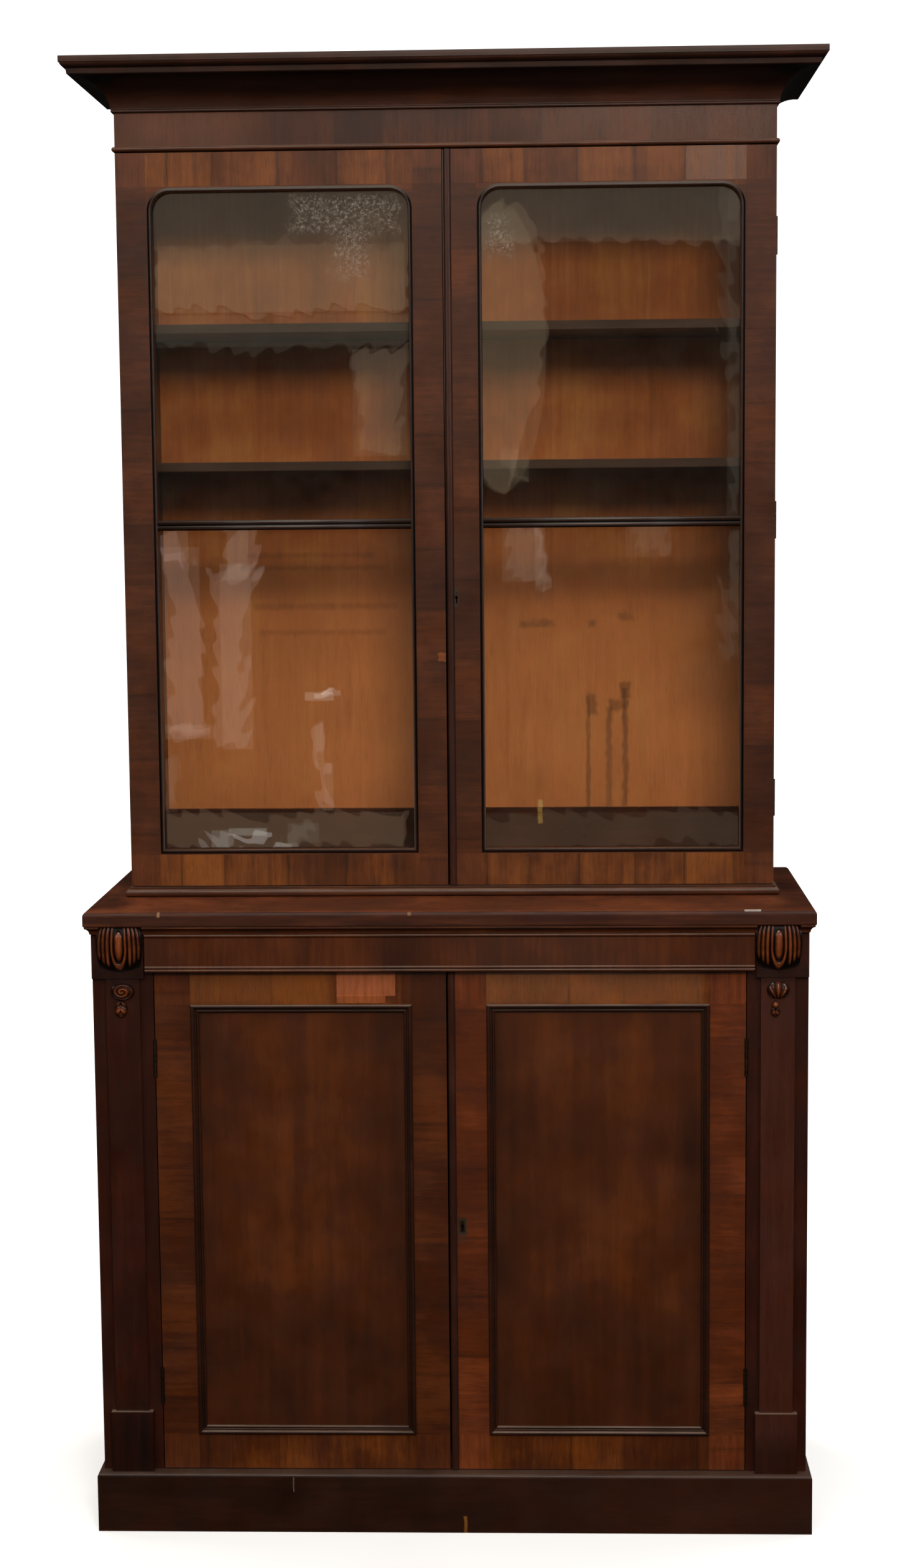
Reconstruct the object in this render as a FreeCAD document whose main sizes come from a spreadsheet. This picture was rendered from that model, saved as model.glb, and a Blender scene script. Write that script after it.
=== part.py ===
"""Library bookcase: a glazed upper case with a loose cornice, on a base with a drawer and cupboard.

Millimetres. X runs to the right, Y to the back and Z up. The origin is on the floor, under the
middle of the bookcase. Every size that can be set is a cell of the sheet Sizes, and every place
and length is an expression of those cells.
"""
import FreeCAD, Part
import math
import os
import re
import Sketcher

SIZES = {
    # Whole bookcase
    "overall_depth": 460,
    "side_thickness": 22,
    "back_thickness": 10,
    "door_thickness": 22,
    "door_gap": 1.5,
    "door_stop_gap": 0.5,
    "meeting_offset": -3.5,
    "meeting_gap": 2,
    "meeting_bead_width": 12,
    "meeting_bead_height": 3.5,
    # Base
    "base_width": 1136,
    "base_height": 1017,
    "face_setback": 22.5,
    "top_thickness": 25,
    "top_overhang": 10,
    "top_upper_round": 8,
    "top_lower_round": 3,
    "under_moulding_height": 12,
    "under_moulding_reach": 8,
    "under_moulding_setback": 0.5,
    "under_moulding_foot_reach": 1,
    "under_moulding_foot_flat": 1.5,
    "under_moulding_radius": 9.2,
    "under_moulding_fillet": 2.5,
    "plinth_height": 97,
    "plinth_projection": 8.5,
    "plinth_thickness": 24,
    "plinth_round": 6,
    "plinth_bearer_thickness": 20,
    "base_stile_width": 97,
    "base_floor_thickness": 20,
    "frieze_drawer_height": 63,
    "cupboard_shelf_rise": 403,
    "cupboard_shelf_setback": 40,
    "shelf_bearer_size": 20,
    # Pilasters, corbels and carved drops
    "pilaster_inset": 48.8,
    "strip_width": 53.5,
    "strip_projection": 6,
    "foot_block_width": 67.5,
    "foot_block_height": 99.5,
    "foot_block_projection": 13,
    "corbel_block_width": 83,
    "corbel_block_height": 73,
    "corbel_block_projection": 7,
    "corbel_width": 68,
    "corbel_height": 62,
    "corbel_foot_depth": 3,
    "corbel_shoulder": 16,
    "corbel_curve": 95,
    "drop_gap": 5,
    "drop_bowl_width": 38,
    "drop_bowl_rim": 13,
    "drop_bowl_radius": 19.1,
    "drop_leaf_width": 22,
    "drop_leaf_height": 20,
    "drop_leaf_radius": 11.1,
    "drop_overlap": 3,
    "drop_depth": 12,
    # Frieze drawer
    "drawer_rail_thickness": 12,
    "drawer_rail_depth": 77,
    "drawer_end_gap": 3,
    "drawer_projection": 13,
    "drawer_length": 350,
    "drawer_inner_front": 18,
    "drawer_side_thickness": 12,
    "drawer_side_height": 42,
    "drawer_back_thickness": 10,
    "drawer_bottom_thickness": 6,
    "drawer_clearance": 1,
    "drawer_run_gap": 0.3,
    "drawer_bead_height": 5,
    "drawer_bead_base": 0.5,
    "drawer_bead_radius": 2.6,
    "runner_overlap": 20,
    # Upper case
    "upper_width": 1047,
    "upper_depth": 303,
    "waist_height": 16,
    "waist_fillet": 4,
    "waist_radius": 6.5,
    "waist_flat": 5.5,
    "waist_reach": 9.5,
    "glazed_height": 1178,
    "upper_side_thickness": 20,
    "upper_top_thickness": 20,
    "back_rail_height": 93,
    "shelf_thickness": 14,
    "high_shelf_rise": 910,
    "low_shelf_rise": 689,
    "shelf_setback": 15,
    "shelf_end_gap": 0.5,
    "peg_radius": 3.5,
    "peg_length": 20,
    "peg_inset": 40,
    "peg_fit": 0.05,
    # Cornice and frieze
    "frieze_height": 60.5,
    "frieze_thickness": 22,
    "frieze_board_drop": 10,
    "frieze_bead_height": 8,
    "frieze_bead_flat": 1.5,
    "frieze_bead_radius": 4.2,
    "cornice_height": 78.5,
    "cornice_reach": 73.5,
    "cornice_bead_height": 5,
    "cornice_bead_depth": 2.5,
    "cornice_bead_radius": 2.6,
    "cornice_quirk": 2,
    "cornice_hollow_foot": 1.5,
    "cornice_hollow_radius": 52,
    "cornice_lip": 1.5,
    "cornice_band_height": 8,
    "cornice_band_step": 1,
    "cornice_ovolo_size": 8.5,
    "cornice_ovolo_radius": 10,
    "cornice_fillet_step": 1.5,
    "cornice_fillet_height": 9.5,
    "cornice_rail_height": 90,
    "glue_block_size": 30,
    "glue_block_length": 80,
    # Glazed doors
    "glazed_outer_stile": 47.5,
    "glazed_meeting_stile": 46.5,
    "glazed_meeting_stile_right": 51.5,
    "glazed_top_rail": 53,
    "glazed_bottom_rail": 51.5,
    "sight_moulding_width": 8,
    "sight_corner_radius": 30,
    "sight_moulding_depth": 12,
    "bar_centre_rise": 588,
    "bar_width": 16,
    "bar_web": 4,
    "glass_thickness": 3,
    "glass_clearance": 0.5,
    "glazing_bead_width": 6,
    # Cupboard doors
    "cupboard_outer_stile": 57,
    "cupboard_meeting_stile": 55,
    "cupboard_meeting_stile_right": 61.5,
    "cupboard_top_rail": 52,
    "cupboard_bottom_rail": 57.5,
    "panel_thickness": 8,
    "panel_recess": 6,
    "panel_groove_depth": 7,
    "panel_moulding_width": 13,
    "panel_bead_width": 6,
    "panel_bead_radius": 3.1,
    "panel_bead_base": 8,
    "panel_quirk_base": 5,
    "panel_inner_bead_width": 4.5,
    "panel_inner_bead_radius": 2.3,
    "panel_inner_bead_base": 3,
    "tenon_length": 35,
    "tenon_thickness": 7,
    "tenon_shoulder": 10,
    # Hinges
    "hinge_length": 60,
    "hinge_leaf_width": 16,
    "hinge_leaf_thickness": 1.5,
    "hinge_knuckle_radius": 2.75,
    "hinge_axis_offset": 1,
    "hinge_pin_radius": 1.4,
    "hinge_pin_fit": 0.05,
    "hinge_knuckle_gap": 0.2,
    "hinge_notch_clearance": 0.35,
    "hinge_end_distance": 140,
    "hinge_screw_radius": 1.6,
    "hinge_screw_head_radius": 3,
    "hinge_screw_length": 13,
    "hinge_screw_spacing": 20,
    # Locks and bolts
    "lock_width": 40,
    "lock_height": 56,
    "lock_depth": 12,
    "lock_wall": 2.5,
    "lock_bolt_thickness": 6,
    "lock_bolt_height": 17,
    "lock_bolt_length": 28,
    "lock_fit": 0.4,
    "lock_end_gap": 1,
    "glazed_lock_rise": 469,
    "cupboard_lock_rise": 405,
    "glazed_keyhole_distance": 15.3,
    "cupboard_keyhole_distance": 20.5,
    "keyhole_radius": 2.4,
    "keyhole_slot_width": 2,
    "keyhole_slot_length": 9,
    "keyhole_plate_width": 13,
    "keyhole_plate_height": 27,
    "keyhole_strip_width": 6,
    "keyhole_strip_height": 30,
    "keyhole_plate_thickness": 1,
    "bolt_radius": 3,
    "bolt_fit": 0.05,
    "bolt_mortise_width": 9,
    "bolt_length": 84,
    "bolt_axis_distance": 7.5,
    "bolt_top_gap": 2,
    "bolt_case_width": 16,
    "bolt_case_height": 50,
    "bolt_case_depth": 13,
    "bolt_case_drop": 11,
    "bolt_knob_radius": 3.5,
    "bolt_knob_length": 9,
    "bolt_knob_rise": 7,
    "bolt_distance": 25,
}

BACK_BOARD_COUNT = 6
SCREWS_PER_LEAF = 3

# Planes that several pieces share, as expressions of the sheet's cells
FRONT = "(-overall_depth / 2)"
BACK = "(overall_depth / 2)"
BOARD_FACE = f"({BACK} - back_thickness)"
HALF_BASE = "(base_width / 2)"
HALF_UPPER = "(upper_width / 2)"
BASE_FACE = f"({FRONT} + face_setback)"
BASE_DOOR_BACK = f"({BASE_FACE} + door_thickness)"
BASE_OPENING = f"({HALF_BASE} - base_stile_width)"
BASE_INSIDE = f"({HALF_BASE} - side_thickness)"
TOP_UNDERSIDE = "(base_height - top_thickness)"
UNDER_MOULDING_FOOT = f"({TOP_UNDERSIDE} - under_moulding_height)"
UNDER_MOULDING_FACE = f"({FRONT} + under_moulding_setback + under_moulding_reach)"
CORBEL_BLOCK_FACE = f"({BASE_FACE} - corbel_block_projection)"
STRIP_FACE = f"({BASE_FACE} - strip_projection)"
CORBEL_BLOCK_FOOT = f"({UNDER_MOULDING_FOOT} - corbel_block_height)"
RAIL_FOOT = f"({UNDER_MOULDING_FOOT} - frieze_drawer_height)"
RAIL_TOP = f"({RAIL_FOOT} + drawer_rail_thickness)"
PILASTER_CENTRE = f"({HALF_BASE} - pilaster_inset)"
UPPER_FACE = f"({BACK} - upper_depth)"
UPPER_DOOR_BACK = f"({UPPER_FACE} + door_thickness)"
CASE_FRONT = f"({UPPER_DOOR_BACK} + door_stop_gap)"
UPPER_INSIDE = f"({HALF_UPPER} - upper_side_thickness)"
GLAZED_FOOT = "(base_height + waist_height)"
CASE_TOP = f"({GLAZED_FOOT} + glazed_height)"
TOP_BOARD_FOOT = f"({CASE_TOP} - upper_top_thickness)"
CORNICE_FOOT = f"({CASE_TOP} + frieze_height)"
CORNICE_TOP = f"({CORNICE_FOOT} + cornice_height)"
BAR_CENTRE = f"({GLAZED_FOOT} + bar_centre_rise)"
SHELF_TOPS = (f"({GLAZED_FOOT} + high_shelf_rise)", f"({GLAZED_FOOT} + low_shelf_rise)")
SHELF_FRONT = f"({CASE_FRONT} + shelf_setback)"

doc = FreeCAD.newDocument("library_bookcase")
sheet = doc.addObject("Spreadsheet::Sheet", "Sizes")
nodes = []


def fill_sheet():
    """Writes every driving size into the sheet, one row each, with its alias."""
    for row, (alias, size) in enumerate(SIZES.items(), start=1):
        sheet.set(f"A{row}", alias.replace("_", " "))
        sheet.set(f"B{row}", str(size))
        sheet.setAlias(f"B{row}", alias)
    doc.recompute()


def bound(expression):
    """The expression with each alias written as a cell of the sheet."""
    return re.sub(r"[a-z_]+", lambda word: f"Sizes.{word.group(0)}", expression)


def value(expression):
    """The number that an expression gives with the sheet as it is."""
    return float(sheet.evalExpression(bound(expression)))


def ordered(first, second):
    """Two expressions, the lower one first."""
    return (first, second) if value(first) <= value(second) else (second, first)


# ---- Small makers of bound objects ----

def node(label, shape_object):
    """Names a finished sub-part and keeps it for the checks and the export."""
    shape_object.Label = label
    nodes.append(shape_object)
    return shape_object


def box(x, y, z):
    """A board between two planes in each direction."""
    board = doc.addObject("Part::Box", "Board")
    for (start, end), size, axis in ((x, "Length", "x"), (y, "Width", "y"), (z, "Height", "z")):
        low, high = ordered(start, end)
        board.setExpression(size, bound(f"{high} - ({low})"))
        board.setExpression(f"Placement.Base.{axis}", bound(low))
    return board


AXIS_TURNS = {
    "x": FreeCAD.Rotation(FreeCAD.Vector(0, 1, 0), 90),
    "y": FreeCAD.Rotation(FreeCAD.Vector(1, 0, 0), -90),
    "z": FreeCAD.Rotation(),
}


def round_bar(centre, axis, radius, length, end_radius=None):
    """A cylinder, or a cone when it has an end radius, that runs from centre along an axis."""
    kind = "Part::Cylinder" if end_radius is None else "Part::Cone"
    bar = doc.addObject(kind, "Round")
    bar.Placement = FreeCAD.Placement(FreeCAD.Vector(), AXIS_TURNS[axis])
    bar.setExpression("Radius" if end_radius is None else "Radius1", bound(radius))
    if end_radius is not None:
        bar.setExpression("Radius2", bound(end_radius))
    bar.setExpression("Height", bound(length))
    for place, letter in zip(centre, "xyz"):
        bar.setExpression(f"Placement.Base.{letter}", bound(place))
    return bar


def fuse(*pieces):
    """One solid from several that meet."""
    joined = doc.addObject("Part::MultiFuse", "Joined")
    joined.Shapes = list(pieces)
    joined.Refine = True
    return joined


def cut(base, *tools):
    """A solid with other solids taken out of it."""
    result = doc.addObject("Part::Cut", "Worked")
    result.Base = base
    result.Tool = tools[0] if len(tools) == 1 else fuse(*tools)
    return result


def common(first, second):
    """The part of a solid that lies inside another."""
    shared = doc.addObject("Part::Common", "Mitred")
    shared.Base = first
    shared.Tool = second
    return shared


def mirror(piece):
    """The same piece on the other side of the bookcase."""
    copy = doc.addObject("Part::Mirroring", "Mirrored")
    copy.Source = piece
    copy.Normal = (1, 0, 0)
    return copy


def group(*pieces):
    """Several separate solids in one sub-part."""
    bundle = doc.addObject("Part::Compound", "Group")
    bundle.Links = list(pieces)
    return bundle


# ---- Sketched outlines ----

PLANES = {"XY": "XY_Plane", "XZ": "XZ_Plane", "YZ": "YZ_Plane"}


def arc_between(start, end, radius, side):
    """The shorter arc from start to end, its centre on the left of the way for side 1."""
    middle = (start + end) / 2
    chord = end - start
    height = math.sqrt(max(radius ** 2 - (chord.Length / 2) ** 2, 0))
    left = FreeCAD.Vector(-chord.y, chord.x, 0).normalize()
    centre = middle + left * height * side
    first, last = (start, end) if side > 0 else (end, start)
    begin = math.atan2(first.y - centre.y, first.x - centre.x)
    finish = math.atan2(last.y - centre.y, last.x - centre.x)
    circle = Part.Circle(centre, FreeCAD.Vector(0, 0, 1), radius)
    return Part.ArcOfCircle(circle, begin, finish)


def draw(sketch, outline):
    """Draws a closed outline of corners (x, y), or (x, y, radius, side) where an arc starts."""
    points = [FreeCAD.Vector(value(corner[0]), value(corner[1]), 0) for corner in outline]
    ends = []
    for index, corner in enumerate(outline):
        start, end = points[index], points[(index + 1) % len(points)]
        if len(corner) == 2:
            sketch.addGeometry(Part.LineSegment(start, end), False)
            ends.append((1, 2))
        else:
            sketch.addGeometry(arc_between(start, end, value(corner[2]), corner[3]), False)
            ends.append((1, 2) if corner[3] > 0 else (2, 1))
    for index, corner in enumerate(outline):
        following = (index + 1) % len(outline)
        meeting = (index, ends[index][1], following, ends[following][0])
        sketch.addConstraint(Sketcher.Constraint("Coincident", *meeting))
        for kind, place, number in zip(("DistanceX", "DistanceY"), corner, points[index]):
            held = Sketcher.Constraint(kind, -1, 1, index, ends[index][0], number)
            sketch.setExpression(f"Constraints[{sketch.addConstraint(held)}]", bound(place))
        if len(corner) > 2:
            held = Sketcher.Constraint("Radius", index, value(corner[2]))
            sketch.setExpression(f"Constraints[{sketch.addConstraint(held)}]", bound(corner[2]))


def prism(plane, outline, low, high):
    """A body padded from an outline in a plane, from low to high along the plane's own axis."""
    body = doc.addObject("PartDesign::Body", "Body")
    base_plane = next(f for f in body.Origin.OriginFeatures if f.Role == PLANES[plane])
    sketch = body.newObject("Sketcher::SketchObject", "Outline")
    sketch.AttachmentSupport = [(base_plane, "")]
    sketch.MapMode = "FlatFace"
    offset = f"-({high})" if plane == "XZ" else low
    sketch.setExpression("AttachmentOffset.Base.z", bound(offset))
    draw(sketch, outline)
    pad = body.newObject("PartDesign::Pad", "Pad")
    pad.Profile = sketch
    pad.setExpression("Length", bound(f"{high} - ({low})"))
    body.Tip = pad
    return body


def turned(outline, across, up, flipped):
    """An outline of (projection, height) corners, moved to a plane's own directions."""
    moved = []
    for corner in outline:
        place = (across(corner[0]), up(corner[1]))
        bend = (corner[2], -corner[3] if flipped else corner[3]) if len(corner) > 2 else ()
        moved.append(place + bend)
    return moved


# ---- Mouldings that run round the front and both sides ----

def moulding_front(profile, foot, top, half, face, back, reach):
    """The front length of a moulding, mitred at both ends. The profile's origin is on the face."""
    outline = turned(profile, lambda p: f"{face} - ({p})", lambda h: f"{foot} + ({h})", True)
    stick = prism("YZ", outline, f"-({half} + {reach})", f"{half} + {reach}")
    plan = [
        (f"-{half}", face),
        (f"-{half} - {reach}", f"{face} - {reach}"),
        (f"{half} + {reach}", f"{face} - {reach}"),
        (half, face),
    ]
    if back != face:
        plan += [(half, back), (f"-{half}", back)]
    return common(stick, prism("XY", plan, foot, top))


def moulding_return(profile, foot, top, half, face, reach):
    """The right-hand return of a moulding, mitred at the front and square at the back."""
    outline = turned(profile, lambda p: f"{half} + ({p})", lambda h: f"{foot} + ({h})", False)
    stick = prism("XZ", outline, f"{face} - {reach}", BACK)
    plan = [
        (half, face),
        (f"{half} + {reach}", f"{face} - {reach}"),
        (f"{half} + {reach}", BACK),
        (half, BACK),
    ]
    return common(stick, prism("XY", plan, foot, top))


def round_moulding(profile, foot, top, half, face, reach):
    """Front length and two returns of one moulding."""
    right = moulding_return(profile, foot, top, half, face, reach)
    return moulding_front(profile, foot, top, half, face, face, reach), mirror(right), right


def frame_moulding(profile, x, z, back, width, depth):
    """Four mitred lengths inside a rectangle. The profile is (inward, forward) of its back corner."""
    (x_low, x_high), (z_low, z_high) = x, z
    front = f"{back} - ({depth})"
    corners = {
        "left": [(x_low, z_low), (f"{x_low} + {width}", f"{z_low} + {width}"),
                 (f"{x_low} + {width}", f"{z_high} - {width}"), (x_low, z_high)],
        "right": [(x_high, z_low), (x_high, z_high),
                  (f"{x_high} - {width}", f"{z_high} - {width}"),
                  (f"{x_high} - {width}", f"{z_low} + {width}")],
        "foot": [(x_low, z_low), (x_high, z_low), (f"{x_high} - {width}", f"{z_low} + {width}"),
                 (f"{x_low} + {width}", f"{z_low} + {width}")],
        "head": [(x_low, z_high), (f"{x_low} + {width}", f"{z_high} - {width}"),
                 (f"{x_high} - {width}", f"{z_high} - {width}"), (x_high, z_high)],
    }
    sticks = {
        "left": prism("XY", turned(profile, lambda q: f"{x_low} + ({q})",
                                   lambda d: f"{back} - ({d})", True), z_low, z_high),
        "right": prism("XY", turned(profile, lambda q: f"{x_high} - ({q})",
                                    lambda d: f"{back} - ({d})", False), z_low, z_high),
        "foot": prism("YZ", frame_rail_outline(profile, z_low, back, 1), x_low, x_high),
        "head": prism("YZ", frame_rail_outline(profile, z_high, back, -1), x_low, x_high),
    }
    return [common(sticks[side], prism("XZ", corners[side], front, back)) for side in corners]


def frame_rail_outline(profile, edge, back, inward):
    """The profile of a moulding along X: forward is -Y, and inward is up for 1, down for -1."""
    sign = "+" if inward > 0 else "-"
    outline = []
    for corner in profile:
        place = (f"{back} - ({corner[1]})", f"{edge} {sign} ({corner[0]})")
        bend = (corner[2], corner[3] * inward) if len(corner) > 2 else ()
        outline.append(place + bend)
    return outline


# ---- Hinges: the pieces of the right-hand side, mirrored for the left ----

class Hinge:
    """One butt hinge: its leaves, pin and screws, and the solids that its wood makes room for.

    An overlay hinge lies behind the door, its leaves across the bookcase; an inset hinge lies
    beside the door, its leaves from front to back.
    """

    def __init__(self, overlay, axis_x, axis_y, centre):
        self.overlay = overlay
        self.axis_x = axis_x
        self.axis_y = axis_y
        self.centre = centre
        self.low = f"({centre} - hinge_length / 2)"
        self.high = f"({centre} + hinge_length / 2)"
        third = "hinge_length / 3"
        self.door_span = (f"{self.low} + {third} + hinge_knuckle_gap",
                          f"{self.high} - {third} - hinge_knuckle_gap")
        self.case_spans = [(self.low, f"{self.low} + {third}"), (f"{self.high} - {third}", self.high)]
        bore = self.along_axis("hinge_pin_radius + hinge_pin_fit", self.low, self.high)
        self.pin = self.along_axis("hinge_pin_radius", self.low, self.high)
        self.door_screws = self.screws(-1)
        self.case_screws = self.screws(1)
        self.door_plate = self.plate(-1)
        self.case_plate = self.plate(1)
        self.door_leaf = self.leaf(self.door_plate, -1, [self.door_span], bore, self.door_screws)
        self.case_leaf = self.leaf(self.case_plate, 1, self.case_spans, bore, self.case_screws)

    def along_axis(self, radius, low, high):
        return round_bar((self.axis_x, self.axis_y, low), "z", radius, f"{high} - ({low})")

    def slab(self, side, near, far, span):
        """Half of the closed hinge's thickness, from near to far off the axis. Side -1 is the door's."""
        sign = "-" if side < 0 else "+"
        inner = "door_stop_gap / 2" if self.overlay else "door_gap / 2"
        if self.overlay:
            thick = (f"{self.axis_y} {sign} {inner}",
                     f"{self.axis_y} {sign} ({inner} + hinge_leaf_thickness)")
            return box((f"{self.axis_x} - ({near})", f"{self.axis_x} - ({far})"), thick, span)
        thick = (f"{self.axis_x} {sign} {inner}",
                 f"{self.axis_x} {sign} ({inner} + hinge_leaf_thickness)")
        return box(thick, (f"{self.axis_y} + {near}", f"{self.axis_y} + {far}"), span)

    def plate(self, side):
        near = "hinge_knuckle_radius + hinge_notch_clearance"
        return self.slab(side, near, f"{near} + hinge_leaf_width", (self.low, self.high))

    def leaf(self, plate, side, spans, bore, screws):
        """A plate with its knuckles, bored for the pin and countersunk for the screws."""
        parts = [plate]
        for low, high in spans:
            parts.append(self.along_axis("hinge_knuckle_radius", low, high))
            reach = "hinge_knuckle_radius + hinge_notch_clearance + hinge_leaf_thickness"
            parts.append(self.slab(side, "hinge_pin_radius", reach, (low, high)))
        return cut(cut(fuse(*parts), bore), *screws)

    def screws(self, side):
        """Countersunk screws, their heads flush with the leaf."""
        sign = "-" if side < 0 else "+"
        inner = "door_stop_gap / 2" if self.overlay else "door_gap / 2"
        middle = "hinge_knuckle_radius + hinge_notch_clearance + hinge_leaf_width / 2"
        made = []
        for number in range(SCREWS_PER_LEAF):
            step = number - (SCREWS_PER_LEAF - 1) / 2
            height = f"{self.centre} + {step} * hinge_screw_spacing"
            if self.overlay:
                start = (f"{self.axis_x} - ({middle})", f"{self.axis_y} {sign} {inner}", height)
                axis, index = "y", 1
            else:
                start = (f"{self.axis_x} {sign} {inner}", f"{self.axis_y} + {middle}", height)
                axis, index = "x", 0
            made.append(self.screw(start, axis, index, side))
        return made

    def screw(self, start, axis, index, side):
        """A screw whose head lies at start and whose point goes into the wood."""
        head_end = list(start)
        point = list(start)
        if side < 0:
            head_end[index] = f"{start[index]} - hinge_leaf_thickness"
            point[index] = f"{start[index]} - hinge_screw_length"
            head = round_bar(head_end, axis, "hinge_screw_radius", "hinge_leaf_thickness",
                             "hinge_screw_head_radius")
        else:
            head = round_bar(start, axis, "hinge_screw_head_radius", "hinge_leaf_thickness",
                             "hinge_screw_radius")
        shank = round_bar(point if side < 0 else start, axis, "hinge_screw_radius",
                          "hinge_screw_length")
        return fuse(head, shank)

    def wood_room(self, plate, screws):
        """What a stile or a side loses to this hinge: the leaf's bed, the knuckle's notch, the screws."""
        notch = self.along_axis("hinge_knuckle_radius + hinge_notch_clearance",
                                f"{self.low} - hinge_notch_clearance",
                                f"{self.high} + hinge_notch_clearance")
        near_bed = self.slab(-1 if plate is self.door_plate else 1, "0",
                             "hinge_knuckle_radius + hinge_notch_clearance", (self.low, self.high))
        return [plate, near_bed, notch, *screws]

    def door_room(self):
        return self.wood_room(self.door_plate, self.door_screws)

    def case_room(self):
        return self.wood_room(self.case_plate, self.case_screws)


# ---- Locks and bolts ----

def lock(meeting, back, front, centre, key_distance, plate_size):
    """A rim lock behind the right-hand meeting stile: case, bolt, keyhole plate and the keyhole."""
    plate_width, plate_height = plate_size
    case_x = (f"{meeting} + lock_end_gap", f"{meeting} + lock_end_gap + lock_width")
    case = box(case_x, (back, f"{back} + lock_depth"),
               (f"{centre} - lock_height / 2", f"{centre} + lock_height / 2"))
    bolt_x = (f"{meeting} + lock_end_gap", f"{meeting} + lock_end_gap + lock_bolt_length")
    channel = box((case_x[0], f"{bolt_x[1]} + lock_fit"),
                  (f"{back} + lock_wall", f"{back} + lock_wall + 2 * lock_fit + lock_bolt_thickness"),
                  (f"{centre} - lock_bolt_height / 2 - lock_fit",
                   f"{centre} + lock_bolt_height / 2 + lock_fit"))
    bolt = box(bolt_x,
               (f"{back} + lock_wall + lock_fit",
                f"{back} + lock_wall + lock_fit + lock_bolt_thickness"),
               (f"{centre} - lock_bolt_height / 2", f"{centre} + lock_bolt_height / 2"))
    key_x = f"{meeting} + {key_distance}"
    plate = box((f"{key_x} - {plate_width} / 2", f"{key_x} + {plate_width} / 2"),
                (front, f"{front} + keyhole_plate_thickness"),
                (f"{centre} - {plate_height} / 2", f"{centre} + {plate_height} / 2"))
    through = f"{back} + lock_wall - ({front})"
    keyhole = fuse(
        round_bar((key_x, front, centre), "y", "keyhole_radius", through),
        box((f"{key_x} - keyhole_slot_width / 2", f"{key_x} + keyhole_slot_width / 2"),
            (front, f"{front} + {through}"), (f"{centre} - keyhole_slot_length", centre)),
    )
    return {
        "case": cut(case, channel, keyhole),
        "bolt": bolt,
        "plate": cut(plate, keyhole),
        "room": [plate, keyhole],
    }


def door_bolt(stile_edge, back, stop):
    """A small bolt behind the left-hand meeting stile, its case, and the mortise it shoots into."""
    x = f"({stile_edge} - bolt_distance)"
    y = f"({back} + bolt_axis_distance)"
    rest_top = f"({stop} - bolt_top_gap)"
    rest_foot = f"({rest_top} - bolt_length)"
    case_top = f"({stop} - bolt_case_drop)"
    case_foot = f"({case_top} - bolt_case_height)"
    knob_height = f"({rest_foot} + bolt_knob_rise)"
    bolt = fuse(round_bar((x, y, rest_foot), "z", "bolt_radius", "bolt_length"),
                round_bar((x, y, knob_height), "y", "bolt_knob_radius", "bolt_knob_length"))
    bore = round_bar((x, y, case_foot), "z", "bolt_radius + bolt_fit", "bolt_case_height")
    block = box((f"{x} - bolt_case_width / 2", f"{x} + bolt_case_width / 2"),
                (back, f"{back} + bolt_case_depth"), (case_foot, case_top))
    mortise = box((f"{x} - bolt_mortise_width / 2", f"{x} + bolt_mortise_width / 2"),
                  (f"{y} - bolt_mortise_width / 2", f"{y} + bolt_mortise_width / 2"),
                  (stop, f"{stop} + upper_top_thickness"))
    return {"case": cut(block, bore), "bolt": bolt, "mortise": mortise}


# ---- Doors ----

MEETING_EDGE = {-1: "(meeting_offset - meeting_gap / 2)", 1: "(meeting_offset + meeting_gap / 2)"}


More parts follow.
